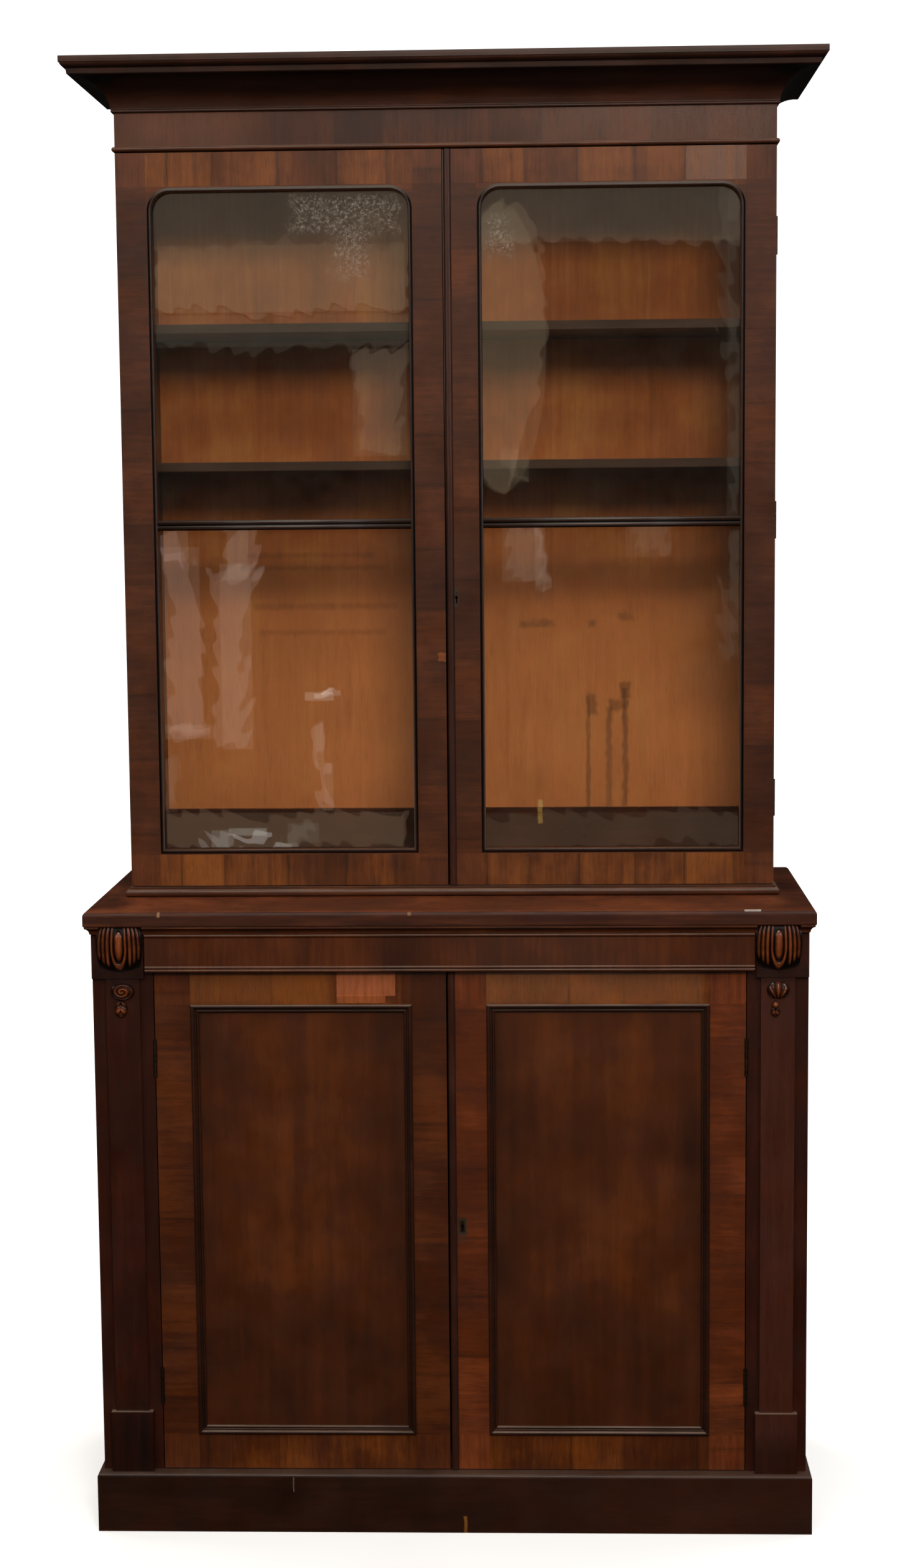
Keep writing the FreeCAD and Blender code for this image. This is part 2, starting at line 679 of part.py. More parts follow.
class DoorFrame:
    """Stiles and rails of one pair of doors. The hinge stile is made once and mirrored."""

    def __init__(self, kind, hinge_edge, face, foot, head, hinges):
        self.kind = kind
        self.face = face
        self.back = f"({face} + door_thickness)"
        self.foot = foot
        self.head = head
        self.inner_hinge_edge = f"({hinge_edge} - {kind}_outer_stile)"
        self.sight_foot = f"({foot} + {kind}_bottom_rail)"
        self.sight_head = f"({head} - {kind}_top_rail)"
        self.hinges = hinges
        hinge_side_tenons = self.tenons(self.inner_hinge_edge, 1)
        rooms = [piece for hinge in hinges for piece in hinge.door_room()]
        stile = box((self.inner_hinge_edge, hinge_edge), (face, self.back), (foot, head))
        self.hinge_stile = cut(stile, *rooms, *hinge_side_tenons, *self.stile_groove(1))

    def rail_spans(self):
        return ((self.foot, self.sight_foot), (self.sight_head, self.head))

    def tenon(self, edge, side, span):
        """A tenon that goes into the stile from an edge, to the right for side 1."""
        sign = "+" if side > 0 else "-"
        middle = f"(({self.face} + {self.back}) / 2)"
        return box((edge, f"{edge} {sign} tenon_length"),
                   (f"{middle} - tenon_thickness / 2", f"{middle} + tenon_thickness / 2"),
                   (f"{span[0]} + tenon_shoulder", f"{span[1]} - tenon_shoulder"))

    def tenons(self, edge, side):
        return [self.tenon(edge, side, span) for span in self.rail_spans()]

    def stile_groove(self, side, edge=None):
        """The panel's groove in a stile; glazed doors have none."""
        if self.kind != "cupboard":
            return []
        start = edge or self.inner_hinge_edge
        sign = "+" if side > 0 else "-"
        return [box((start, f"{start} {sign} panel_groove_depth"), self.panel_span(),
                    (f"{self.sight_foot} - panel_groove_depth",
                     f"{self.sight_head} + panel_groove_depth"))]

    def panel_span(self):
        return (f"{self.face} + panel_recess", f"{self.face} + panel_recess + panel_thickness")

    def inner_edges(self, side):
        """The stiles' inner edges on one leaf: at the hinges, and at the meeting stile."""
        width = f"{self.kind}_meeting_stile" + ("_right" if side > 0 else "")
        if side > 0:
            return self.inner_hinge_edge, f"({MEETING_EDGE[1]} + {width})"
        return f"(-{self.inner_hinge_edge})", f"({MEETING_EDGE[-1]} - {width})"

    def leaf(self, side, meeting_rooms):
        """Stiles and rails of one leaf; side 1 is the right-hand one."""
        hinge_inner, meeting_inner = self.inner_edges(side)
        stile = box((MEETING_EDGE[side], meeting_inner), (self.face, self.back),
                    (self.foot, self.head))
        groove = self.stile_groove(-side, meeting_inner)
        meeting_stile = cut(stile, *self.tenons(meeting_inner, -side), *groove, *meeting_rooms)
        hinge_stile = self.hinge_stile if side > 0 else mirror(self.hinge_stile)
        rails = []
        for span, inward in zip(self.rail_spans(), ("+", "-")):
            rail = fuse(box((hinge_inner, meeting_inner), (self.face, self.back), span),
                        self.tenon(hinge_inner, side, span), self.tenon(meeting_inner, -side, span))
            if self.kind == "cupboard":
                inner = span[1] if inward == "+" else span[0]
                outward = "-" if inward == "+" else "+"
                rail = cut(rail, box((hinge_inner, meeting_inner), self.panel_span(),
                                     (inner, f"{inner} {outward} panel_groove_depth")))
            rails.append(rail)
        return [hinge_stile, meeting_stile], rails

    def leaves(self, side):
        """The door's half of each hinge, with its screws, on one side."""
        pieces = []
        for hinge in self.hinges:
            for piece in (hinge.door_leaf, *hinge.door_screws):
                pieces.append(piece if side > 0 else mirror(piece))
        return pieces


def meeting_bead(face, foot, head):
    """The half-round bead on the right-hand leaf's meeting edge."""
    edge = MEETING_EDGE[1]
    radius = "(meeting_bead_width ^ 2 / 4 + meeting_bead_height ^ 2) / (2 * meeting_bead_height)"
    outline = [(edge, face), (f"{edge} + meeting_bead_width", face, radius, -1)]
    return prism("XY", outline, foot, head)


def glazing(frame, side):
    """Sight moulding, glazing bar, panes and the beads behind them, for one glazed leaf."""
    low, high = ordered(*frame.inner_edges(side))
    foot, head = frame.sight_foot, frame.sight_head
    sight = {
        "low": f"({low} + sight_moulding_width)", "high": f"({high} - sight_moulding_width)",
        "foot": f"({foot} + sight_moulding_width)", "head": f"({head} - sight_moulding_width)",
    }
    glass_face = f"({frame.face} + sight_moulding_depth)"
    bead_face = f"({glass_face} + glass_thickness)"
    corner = "sight_corner_radius"
    opening = [
        (sight["low"], sight["foot"]),
        (sight["high"], sight["foot"]),
        (sight["high"], f"{sight['head']} - {corner}", corner, 1),
        (f"{sight['high']} - {corner}", sight["head"]),
        (f"{sight['low']} + {corner}", sight["head"], corner, 1),
        (sight["low"], f"{sight['head']} - {corner}"),
    ]
    depth = (frame.face, glass_face)
    ring = cut(box((low, high), depth, (foot, head)), prism("XZ", opening, *depth))
    spring = f"({sight['head']} - {corner})"
    lengths = [
        box((low, sight["low"]), depth, (foot, spring)),
        box((sight["high"], high), depth, (foot, spring)),
        box((sight["low"], sight["high"]), depth, (foot, sight["foot"])),
        common(ring, box((low, high), depth, (spring, head))),
    ]
    bar = fuse(
        box((sight["low"], sight["high"]), (frame.face, glass_face),
            (f"{BAR_CENTRE} - bar_width / 2", f"{BAR_CENTRE} + bar_width / 2")),
        box((low, high), (glass_face, frame.back),
            (f"{BAR_CENTRE} - bar_web / 2", f"{BAR_CENTRE} + bar_web / 2")),
    )
    panes, beads = [], []
    spans = ((foot, f"({BAR_CENTRE} - bar_web / 2)"), (f"({BAR_CENTRE} + bar_web / 2)", head))
    for start, end in spans:
        panes.append(box((f"{low} + glass_clearance", f"{high} - glass_clearance"),
                         (glass_face, bead_face),
                         (f"{start} + glass_clearance", f"{end} - glass_clearance")))
        behind = (bead_face, frame.back)
        inside = (f"{low} + glazing_bead_width", f"{high} - glazing_bead_width")
        beads += [
            box((low, inside[0]), behind, (start, end)),
            box((inside[1], high), behind, (start, end)),
            box(inside, behind, (start, f"{start} + glazing_bead_width")),
            box(inside, behind, (f"{end} - glazing_bead_width", end)),
        ]
    return [*lengths, *beads], bar, panes


PANEL_PROFILE = [
    ("0", "0"),
    ("0", "panel_bead_base", "panel_bead_radius", -1),
    ("panel_bead_width", "panel_bead_base"),
    ("panel_bead_width", "panel_quirk_base"),
    ("panel_moulding_width - panel_inner_bead_width", "panel_quirk_base"),
    ("panel_moulding_width - panel_inner_bead_width", "panel_inner_bead_base",
     "panel_inner_bead_radius", -1),
    ("panel_moulding_width", "panel_inner_bead_base"),
    ("panel_moulding_width", "0"),
]


def panelling(frame, side):
    """The flat panel of one cupboard leaf, and the mitred moulding planted round it."""
    low, high = ordered(*frame.inner_edges(side))
    panel = box((f"{low} - panel_groove_depth", f"{high} + panel_groove_depth"), frame.panel_span(),
                (f"{frame.sight_foot} - panel_groove_depth",
                 f"{frame.sight_head} + panel_groove_depth"))
    moulding = frame_moulding(PANEL_PROFILE, (low, high), (frame.sight_foot, frame.sight_head),
                              f"({frame.face} + panel_recess)", "panel_moulding_width",
                              "panel_bead_base + panel_bead_width")
    return panel, moulding


def make_doors():
    """Both pairs of doors. Returns their hinges and bolts, for which the case makes room."""
    glazed_hinges = [
        Hinge(True, f"({HALF_UPPER} + hinge_axis_offset)", f"({UPPER_DOOR_BACK} + door_stop_gap / 2)",
              centre)
        for centre in (f"({GLAZED_FOOT} + hinge_end_distance)",
                       f"({GLAZED_FOOT} + glazed_height / 2)",
                       f"({CASE_TOP} - hinge_end_distance)")
    ]
    cupboard_hinges = [
        Hinge(False, f"({BASE_OPENING} - door_gap / 2)", f"({BASE_FACE} - hinge_axis_offset)", centre)
        for centre in (f"(plinth_height + hinge_end_distance)", f"({RAIL_FOOT} - hinge_end_distance)")
    ]
    glazed = DoorFrame("glazed", HALF_UPPER, UPPER_FACE, f"({GLAZED_FOOT} + door_gap)",
                       f"({CASE_TOP} - door_gap)", glazed_hinges)
    cupboard = DoorFrame("cupboard", f"({BASE_OPENING} - door_gap)", BASE_FACE,
                         "(plinth_height + door_gap)", f"({RAIL_FOOT} - door_gap)", cupboard_hinges)
    locks = {
        "glazed": lock(MEETING_EDGE[1], glazed.back, glazed.face,
                       f"({GLAZED_FOOT} + glazed_lock_rise)", "glazed_keyhole_distance",
                       ("keyhole_strip_width", "keyhole_strip_height")),
        "cupboard": lock(MEETING_EDGE[1], cupboard.back, cupboard.face,
                         "(plinth_height + cupboard_lock_rise)", "cupboard_keyhole_distance",
                         ("keyhole_plate_width", "keyhole_plate_height")),
    }
    bolts = {
        "glazed": door_bolt(MEETING_EDGE[-1], glazed.back, TOP_BOARD_FOOT),
        "cupboard": door_bolt(MEETING_EDGE[-1], cupboard.back, RAIL_FOOT),
    }
    for frame in (glazed, cupboard):
        for side, word in ((-1, "left"), (1, "right")):
            name = f"{frame.kind}_door_{word}"
            rooms = locks[frame.kind]["room"] if side > 0 else []
            stiles, rails = frame.leaf(side, rooms)
            if frame.kind == "glazed":
                mouldings, bar, panes = glazing(frame, side)
                rails.append(bar)
                node(f"{name}_glazing_mouldings", group(*mouldings))
                node(f"{name}_panes", group(*panes))
            else:
                panel, moulding = panelling(frame, side)
                node(f"{name}_panel", panel)
                node(f"{name}_panel_moulding", group(*moulding))
            node(f"{name}_stiles", group(*stiles))
            node(f"{name}_rails", group(*rails))
            node(f"{name}_hinge_leaves", group(*frame.leaves(side)))
        right = f"{frame.kind}_door_right"
        node(f"{right}_meeting_bead", meeting_bead(frame.face, frame.foot, frame.head))
        node(f"{right}_lock", group(locks[frame.kind]["case"], locks[frame.kind]["plate"]))
        node(f"{right}_lock_bolt", locks[frame.kind]["bolt"])
        node(f"{frame.kind}_door_left_bolt_case", bolts[frame.kind]["case"])
        node(f"{frame.kind}_door_left_bolt", bolts[frame.kind]["bolt"])
    case_leaves = []
    for hinge in glazed_hinges + cupboard_hinges:
        for piece in (hinge.case_leaf, hinge.pin, *hinge.case_screws):
            case_leaves += [mirror(piece), piece]
    node("case_hinge_leaves", group(*case_leaves))
    return glazed_hinges, cupboard_hinges, bolts


# ---- Base ----

def boards(inside, foot, head):
    """The upright back boards, edge to edge between the sides."""
    width = f"(2 * {inside} / {BACK_BOARD_COUNT})"
    return group(*[
        box((f"-{inside} + {number} * {width}", f"-{inside} + {number + 1} * {width}"),
            (BOARD_FACE, BACK), (foot, head))
        for number in range(BACK_BOARD_COUNT)
    ])


def pair(piece):
    """A piece of the right-hand side and its mirror image, as one sub-part."""
    return group(mirror(piece), piece)


def fillet(body, radius, wanted):
    """Rounds the edges of a body's last feature whose middle and length pass a test."""
    doc.recompute()
    edges = [f"Edge{number}" for number, edge in enumerate(body.Shape.Edges, start=1)
             if wanted(edge.BoundBox)]
    square = body.Tip
    rounded = body.newObject("PartDesign::Fillet", "Rounded")
    rounded.Base = (square, edges)
    rounded.setExpression("Radius", bound(radius))
    body.Tip = rounded


def make_top_board():
    """The base's top: a board with a large round above and a small one below, on three sides."""
    half = f"({HALF_BASE} + top_overhang)"
    outline = [(f"-{half}", FRONT), (half, FRONT), (half, BACK), (f"-{half}", BACK)]
    body = prism("XY", outline, TOP_UNDERSIDE, "base_height")
    back, edge = value(BACK), value(half)
    for level, radius in (("base_height", "top_upper_round"), (TOP_UNDERSIDE, "top_lower_round")):
        height = value(level)

        def on_the_rim(room, height=height):
            flat = abs(room.ZMin - height) < 1e-6 and abs(room.ZMax - height) < 1e-6
            behind = abs(room.YMin - back) < 1e-6
            return flat and not behind and (room.XLength > edge or room.YLength > edge / 2)

        fillet(body, radius, on_the_rim)
    node("base_top_board", body)


def make_base(cupboard_hinges, bolts):
    """The base's case, plinth, pilasters and carvings."""
    make_top_board()
    stile = box((BASE_OPENING, HALF_BASE), (BASE_FACE, BASE_DOOR_BACK),
                ("plinth_height", TOP_UNDERSIDE))
    rooms = [piece for hinge in cupboard_hinges for piece in hinge.case_room()]
    node("base_front_stiles", pair(cut(stile, *rooms)))
    side = box((BASE_INSIDE, HALF_BASE), (BASE_DOOR_BACK, BACK), ("plinth_height", TOP_UNDERSIDE))
    node("base_sides", pair(side))
    inside = (f"-{BASE_INSIDE}", BASE_INSIDE)
    node("base_floor_board", box(inside, (f"{BASE_DOOR_BACK} + door_stop_gap", BOARD_FACE),
                                 ("plinth_height", "plinth_height + base_floor_thickness")))
    node("base_back_boards", boards(BASE_INSIDE, "plinth_height", TOP_UNDERSIDE))
    rail = box((f"-{BASE_OPENING}", BASE_OPENING), (BASE_FACE, f"{BASE_FACE} + drawer_rail_depth"),
               (RAIL_FOOT, RAIL_TOP))
    node("drawer_rail", cut(rail, bolts["cupboard"]["mortise"]))
    runner = box((f"{BASE_OPENING} - runner_overlap", BASE_INSIDE),
                 (f"{BASE_FACE} + drawer_rail_depth", BOARD_FACE), (RAIL_FOOT, RAIL_TOP))
    shelf_front = f"{BASE_DOOR_BACK} + cupboard_shelf_setback"
    shelf_foot = "(plinth_height + cupboard_shelf_rise)"
    bearer = box((f"{BASE_INSIDE} - shelf_bearer_size", BASE_INSIDE), (shelf_front, BOARD_FACE),
                 (f"{shelf_foot} - shelf_bearer_size", shelf_foot))
    node("base_bearers", group(mirror(runner), runner, mirror(bearer), bearer))
    node("cupboard_shelf", box(inside, (shelf_front, BOARD_FACE),
                               (shelf_foot, f"{shelf_foot} + shelf_thickness")))
    make_under_moulding()
    make_plinth()
    make_pilasters()


def make_under_moulding():
    """The hollow moulding under the top, broken round the corbels."""
    hollow = [
        ("under_moulding_foot_reach", "0"),
        ("under_moulding_foot_reach", "under_moulding_foot_flat", "under_moulding_radius", -1),
        ("under_moulding_reach", "under_moulding_height - under_moulding_fillet"),
        ("under_moulding_reach", "under_moulding_height"),
    ]
    backing = f"({UNDER_MOULDING_FACE} - {CORBEL_BLOCK_FACE})"
    front_profile = [(backing, "0"), *hollow, (backing, "under_moulding_height")]
    side_profile = [("0", "0"), *hollow, ("0", "under_moulding_height")]
    place = (UNDER_MOULDING_FOOT, TOP_UNDERSIDE, HALF_BASE, UNDER_MOULDING_FACE)
    front = moulding_front(front_profile, *place, CORBEL_BLOCK_FACE, "under_moulding_reach")
    corbel = box((f"{PILASTER_CENTRE} - corbel_width / 2", f"{PILASTER_CENTRE} + corbel_width / 2"),
                 (FRONT, CORBEL_BLOCK_FACE), (UNDER_MOULDING_FOOT, TOP_UNDERSIDE))
    side = moulding_return(side_profile, *place, "under_moulding_reach")
    node("under_top_moulding", group(cut(front, corbel, mirror(corbel)), mirror(side), side))


def make_plinth():
    """Plinth boards with a rounded upper edge, a back rail, a bearer that closes the space under
    the doors, and the blocks in their corners."""
    profile = [
        ("0", "0"),
        ("plinth_thickness", "0"),
        ("plinth_thickness", "plinth_height - plinth_round", "plinth_round", 1),
        ("plinth_thickness - plinth_round", "plinth_height"),
        ("0", "plinth_height"),
    ]
    inner_half = f"({HALF_BASE} + plinth_projection - plinth_thickness)"
    inner_face = f"({FRONT} + plinth_thickness)"
    lengths = round_moulding(profile, "0", "plinth_height", inner_half, inner_face,
                             "plinth_thickness")
    back_inner = f"({BACK} - plinth_thickness)"
    rail = box((f"-{inner_half}", inner_half), (back_inner, BACK), ("0", "plinth_height"))
    bearer_end = f"({inner_half} - glue_block_size)"
    bearer = box((f"-{bearer_end}", bearer_end), (inner_face, f"{inner_face} + glue_block_size"),
                 ("plinth_height - plinth_bearer_thickness", "plinth_height"))
    node("plinth", group(*lengths, rail, bearer))
    blocks = []
    frieze_inner = f"({HALF_UPPER} - frieze_thickness)"
    corners = (
        (inner_half, inner_face, back_inner, "plinth_height - glue_block_length", "plinth_height"),
        (frieze_inner, f"({UPPER_FACE} + frieze_thickness)", f"({BACK} - frieze_thickness)",
         CASE_TOP, f"{CASE_TOP} + glue_block_length"),
    )
    for half, near, far, foot, head in corners:
        across = (f"{half} - glue_block_size", half)
        for depth in ((near, f"{near} + glue_block_size"), (f"{far} - glue_block_size", far)):
            block = box(across, depth, (foot, head))
            blocks += [mirror(block), block]
    node("glue_blocks", group(*blocks))


def make_pilasters():
    """On each front stile: a foot block, a raised strip, a corbel block, a corbel and a drop."""
    foot_top = "plinth_height + foot_block_height"
    strip = box((f"{PILASTER_CENTRE} - strip_width / 2", f"{PILASTER_CENTRE} + strip_width / 2"),
                (STRIP_FACE, BASE_FACE), (foot_top, CORBEL_BLOCK_FOOT))
    foot_block = box((f"{PILASTER_CENTRE} - foot_block_width / 2",
                      f"{PILASTER_CENTRE} + foot_block_width / 2"),
                     (f"{BASE_FACE} - foot_block_projection", BASE_FACE),
                     ("plinth_height", foot_top))
    corbel_block = box((f"{HALF_BASE} - corbel_block_width", HALF_BASE),
                       (CORBEL_BLOCK_FACE, BASE_FACE), (CORBEL_BLOCK_FOOT, TOP_UNDERSIDE))
    pieces = (strip, foot_block, corbel_block)
    node("pilasters", group(*[mirror(piece) for piece in pieces], *pieces))
    crown = f"({UNDER_MOULDING_FACE} - under_moulding_reach)"
    corbel_foot = f"({TOP_UNDERSIDE} - corbel_height)"
    outline = [
        (CORBEL_BLOCK_FACE, corbel_foot),
        (CORBEL_BLOCK_FACE, TOP_UNDERSIDE),
        (crown, TOP_UNDERSIDE),
        (crown, f"{TOP_UNDERSIDE} - corbel_shoulder", "corbel_curve", 1),
        (f"{CORBEL_BLOCK_FACE} - corbel_foot_depth", corbel_foot),
    ]
    node("corbels", pair(prism("YZ", outline, f"{PILASTER_CENTRE} - corbel_width / 2",
                               f"{PILASTER_CENTRE} + corbel_width / 2")))
    make_drops()


def make_drops():
    """The carved drops under the corbel blocks: a bowl, and a leaf below it."""
    half_bowl = "drop_bowl_width / 2"
    half_leaf = "drop_leaf_width / 2"
    crown = f"({CORBEL_BLOCK_FOOT} - drop_gap)"
    rim = f"({crown} - drop_bowl_rim)"
    leaf_top = f"({rim} - {half_bowl} + drop_overlap)"
    bowl = [
        (f"{PILASTER_CENTRE} + {half_bowl}", crown),
        (f"{PILASTER_CENTRE} - {half_bowl}", crown),
        (f"{PILASTER_CENTRE} - {half_bowl}", rim, "drop_bowl_radius", 1),
        (f"{PILASTER_CENTRE} + {half_bowl}", rim),
    ]
    leaf = [
        (f"{PILASTER_CENTRE} + {half_leaf}", leaf_top),
        (f"{PILASTER_CENTRE} - {half_leaf}", leaf_top),
        (f"{PILASTER_CENTRE} - {half_leaf}", f"{leaf_top} - drop_leaf_height", "drop_leaf_radius", 1),
        (f"{PILASTER_CENTRE} + {half_leaf}", f"{leaf_top} - drop_leaf_height"),
    ]
    depth = (f"{STRIP_FACE} - drop_depth", STRIP_FACE)
    node("carved_drops", pair(fuse(prism("XZ", bowl, *depth), prism("XZ", leaf, *depth))))


# ---- Frieze drawer ----

def make_drawer():
    """The shallow drawer behind the frieze: its lipped, beaded front hides it between the corbels."""
    lip_back = f"({BASE_FACE} - drawer_clearance)"
    face = f"({BASE_FACE} - drawer_projection)"
    foot = f"({RAIL_FOOT} + drawer_clearance)"
    head = f"({UNDER_MOULDING_FOOT} - drawer_clearance)"
    half_lip = f"({HALF_BASE} - corbel_block_width - drawer_end_gap)"
    half = f"({BASE_OPENING} - drawer_clearance)"
    run = f"({RAIL_TOP} + drawer_run_gap)"
    inner_back = f"({lip_back} + drawer_inner_front)"
    lip = box((f"-{half_lip}", half_lip), (face, lip_back), (foot, head))
    inner = box((f"-{half}", half), (lip_back, inner_back), (run, head))
    mouldings = []
    base = f"{face} - drawer_bead_base"
    for count, start in ((2, foot), (1, f"({head} - drawer_bead_height)")):
        outline = [(face, start)]
        for bead in range(count):
            outline.append((base, f"{start} + {bead} * drawer_bead_height", "drawer_bead_radius", -1))
        end = f"{start} + {count} * drawer_bead_height"
        outline += [(base, end), (face, end)]
        mouldings.append(prism("YZ", outline, f"-{half_lip}", half_lip))
    node("drawer_front", group(lip, inner, *mouldings))
    side_inner = f"({half} - drawer_side_thickness)"
    end = f"({inner_back} + drawer_length)"
    span = (run, f"{run} + drawer_side_height")
    side = box((side_inner, half), (inner_back, end), span)
    back = box((f"-{side_inner}", side_inner), (f"{end} - drawer_back_thickness", end), span)
    node("drawer_box", group(mirror(side), side, back))
    node("drawer_bottom", box((f"-{side_inner}", side_inner),
                              (inner_back, f"{end} - drawer_back_thickness"),
                              (run, f"{run} + drawer_bottom_thickness")))


# ---- Upper case ----

def make_upper_case(glazed_hinges, bolts):
    """Sides, top, floor, back, shelves and foot moulding of the upper case."""
    inside = (f"-{UPPER_INSIDE}", UPPER_INSIDE)
    side = box((UPPER_INSIDE, HALF_UPPER), (CASE_FRONT, BACK), ("base_height", CASE_TOP))
    pegs, peg_holes = [], []
    for top in SHELF_TOPS:
        for depth in (f"{SHELF_FRONT} + peg_inset", f"{BOARD_FACE} - peg_inset"):
            centre = (f"{UPPER_INSIDE} - peg_length / 2", depth, f"{top} - shelf_thickness - peg_radius")
            pegs.append(round_bar(centre, "x", "peg_radius", "peg_length"))
            peg_holes.append(round_bar(centre, "x", "peg_radius + peg_fit", "peg_length"))
    rooms = [piece for hinge in glazed_hinges for piece in hinge.case_room()]
    node("upper_sides", pair(cut(side, *rooms, *peg_holes)))
    node("shelf_pegs", group(*[mirror(peg) for peg in pegs], *pegs))
    top_board = box(inside, (CASE_FRONT, BOARD_FACE), (TOP_BOARD_FOOT, CASE_TOP))
    node("upper_top_board", cut(top_board, bolts["glazed"]["mortise"]))
    node("upper_floor_board", box(inside, (CASE_FRONT, BOARD_FACE), ("base_height", GLAZED_FOOT)))
    node("upper_back_boards", boards(UPPER_INSIDE, "base_height", CASE_TOP))
    node("upper_back_rail", box(inside, (f"{BOARD_FACE} - back_thickness", BOARD_FACE),
                                (GLAZED_FOOT, f"{GLAZED_FOOT} + back_rail_height")))
    shelf_ends = (f"-{UPPER_INSIDE} + shelf_end_gap", f"{UPPER_INSIDE} - shelf_end_gap")
    node("upper_shelves", group(*[
        box(shelf_ends, (SHELF_FRONT, f"{BOARD_FACE} - shelf_end_gap"),
            (f"{top} - shelf_thickness", top))
        for top in SHELF_TOPS
    ]))
    make_waist_moulding()


def make_waist_moulding():
    """The rounded moulding round the upper case's foot; its front length is the case's front rail."""
    shoulder = "waist_height - waist_fillet"
    torus = [
        ("waist_flat", "0", "waist_radius", 1),
        ("waist_flat", shoulder),
        ("waist_flat / 2", shoulder),
        ("waist_flat / 2", "waist_height"),
    ]
    backing = f"({UPPER_FACE} - {CASE_FRONT})"
    front_profile = [(backing, "0"), *torus, (backing, "waist_height")]
    side_profile = [("0", "0"), *torus, ("0", "waist_height")]
    place = ("base_height", GLAZED_FOOT, HALF_UPPER, UPPER_FACE)
    front = moulding_front(front_profile, *place, CASE_FRONT, "waist_reach")
    side = moulding_return(side_profile, *place, "waist_reach")
    node("waist_moulding", group(front, mirror(side), side))


# ---- Cornice ----

def make_cornice():
    """The loose cornice: a frieze frame on the upper case, with its bead and its moulding."""
    inner_half = f"({HALF_UPPER} - frieze_thickness)"
    frieze_back = f"({UPPER_FACE} + frieze_thickness)"
    heights = (CASE_TOP, f"{CORNICE_TOP} - frieze_board_drop")
    front = box((f"-{HALF_UPPER}", HALF_UPPER), (UPPER_FACE, frieze_back), heights)
    side = box((inner_half, HALF_UPPER), (frieze_back, BACK), heights)
    node("cornice_frieze", group(front, mirror(side), side))
    node("cornice_back_rail", box((f"-{inner_half}", inner_half), (f"{BACK} - frieze_thickness", BACK),
                                  (CASE_TOP, f"{CASE_TOP} + cornice_rail_height")))
    bead = [
        ("0", "0"),
        ("frieze_bead_flat", "0", "frieze_bead_radius", 1),
        ("frieze_bead_flat", "frieze_bead_height"),
        ("0", "frieze_bead_height"),
    ]
    node("frieze_bead", group(*round_moulding(
        bead, CASE_TOP, f"{CASE_TOP} + frieze_bead_height", HALF_UPPER, UPPER_FACE,
        "(frieze_bead_flat + frieze_bead_height / 2)")))
    hollow_start = "cornice_bead_depth + cornice_quirk"
    fillet_foot = "cornice_height - cornice_fillet_height"
    band_head = f"{fillet_foot} - cornice_ovolo_size"
    band_foot = f"{band_head} - cornice_band_height"
    ovolo_reach = "cornice_reach - cornice_fillet_step"
    band_reach = f"{ovolo_reach} - cornice_ovolo_size"
    lip_reach = f"{band_reach} - cornice_band_step"
    profile = [
        ("0", "0"),
        ("cornice_bead_depth", "0", "cornice_bead_radius", 1),
        ("cornice_bead_depth", "cornice_bead_height"),
        (hollow_start, "cornice_bead_height"),
        (hollow_start, "cornice_bead_height + cornice_hollow_foot", "cornice_hollow_radius", -1),
        (f"{lip_reach} - cornice_lip", f"{band_foot} - cornice_lip"),
        (lip_reach, band_foot),
        (band_reach, band_head, "cornice_ovolo_radius", 1),
        (ovolo_reach, fillet_foot),
        ("cornice_reach", fillet_foot),
        ("cornice_reach", "cornice_height"),
        ("0", "cornice_height"),
    ]
    node("cornice_moulding", group(*round_moulding(
        profile, CORNICE_FOOT, CORNICE_TOP, HALF_UPPER, UPPER_FACE, "cornice_reach")))


# ---- Checks and export ----

def check_document():
    """Stops if any feature failed, or if a sub-part has no sound solid."""
    doc.recompute()
    for thing in doc.Objects:
        if {"Invalid", "Error"} & set(thing.State):
            raise RuntimeError(f"{thing.Name} ({thing.Label}) did not build: {thing.State}")
    for piece in nodes:
        shape = piece.Shape
        if shape.isNull() or not shape.isValid() or not shape.Solids:
            raise RuntimeError(f"{piece.Label} is not a sound solid")
        if min(solid.Volume for solid in shape.Solids) <= 0:
            raise RuntimeError(f"{piece.Label} has a solid with no volume")


def export():
    os.makedirs("parts", exist_ok=True)
    for piece in nodes:
        piece.Shape.exportStep(f"parts/{piece.Label}.step")
        print(f"{piece.Label}: {len(piece.Shape.Solids)} solids, {piece.Shape.Volume / 1000:.1f} cm3")
    print(f"{len(nodes)} sub-parts")


fill_sheet()
hinge_sets = make_doors()
make_base(hinge_sets[1], hinge_sets[2])
make_drawer()
make_upper_case(hinge_sets[0], hinge_sets[2])
make_cornice()
check_document()
export()
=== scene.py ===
import math

import bpy
import numpy as np
from mathutils import Matrix, Vector


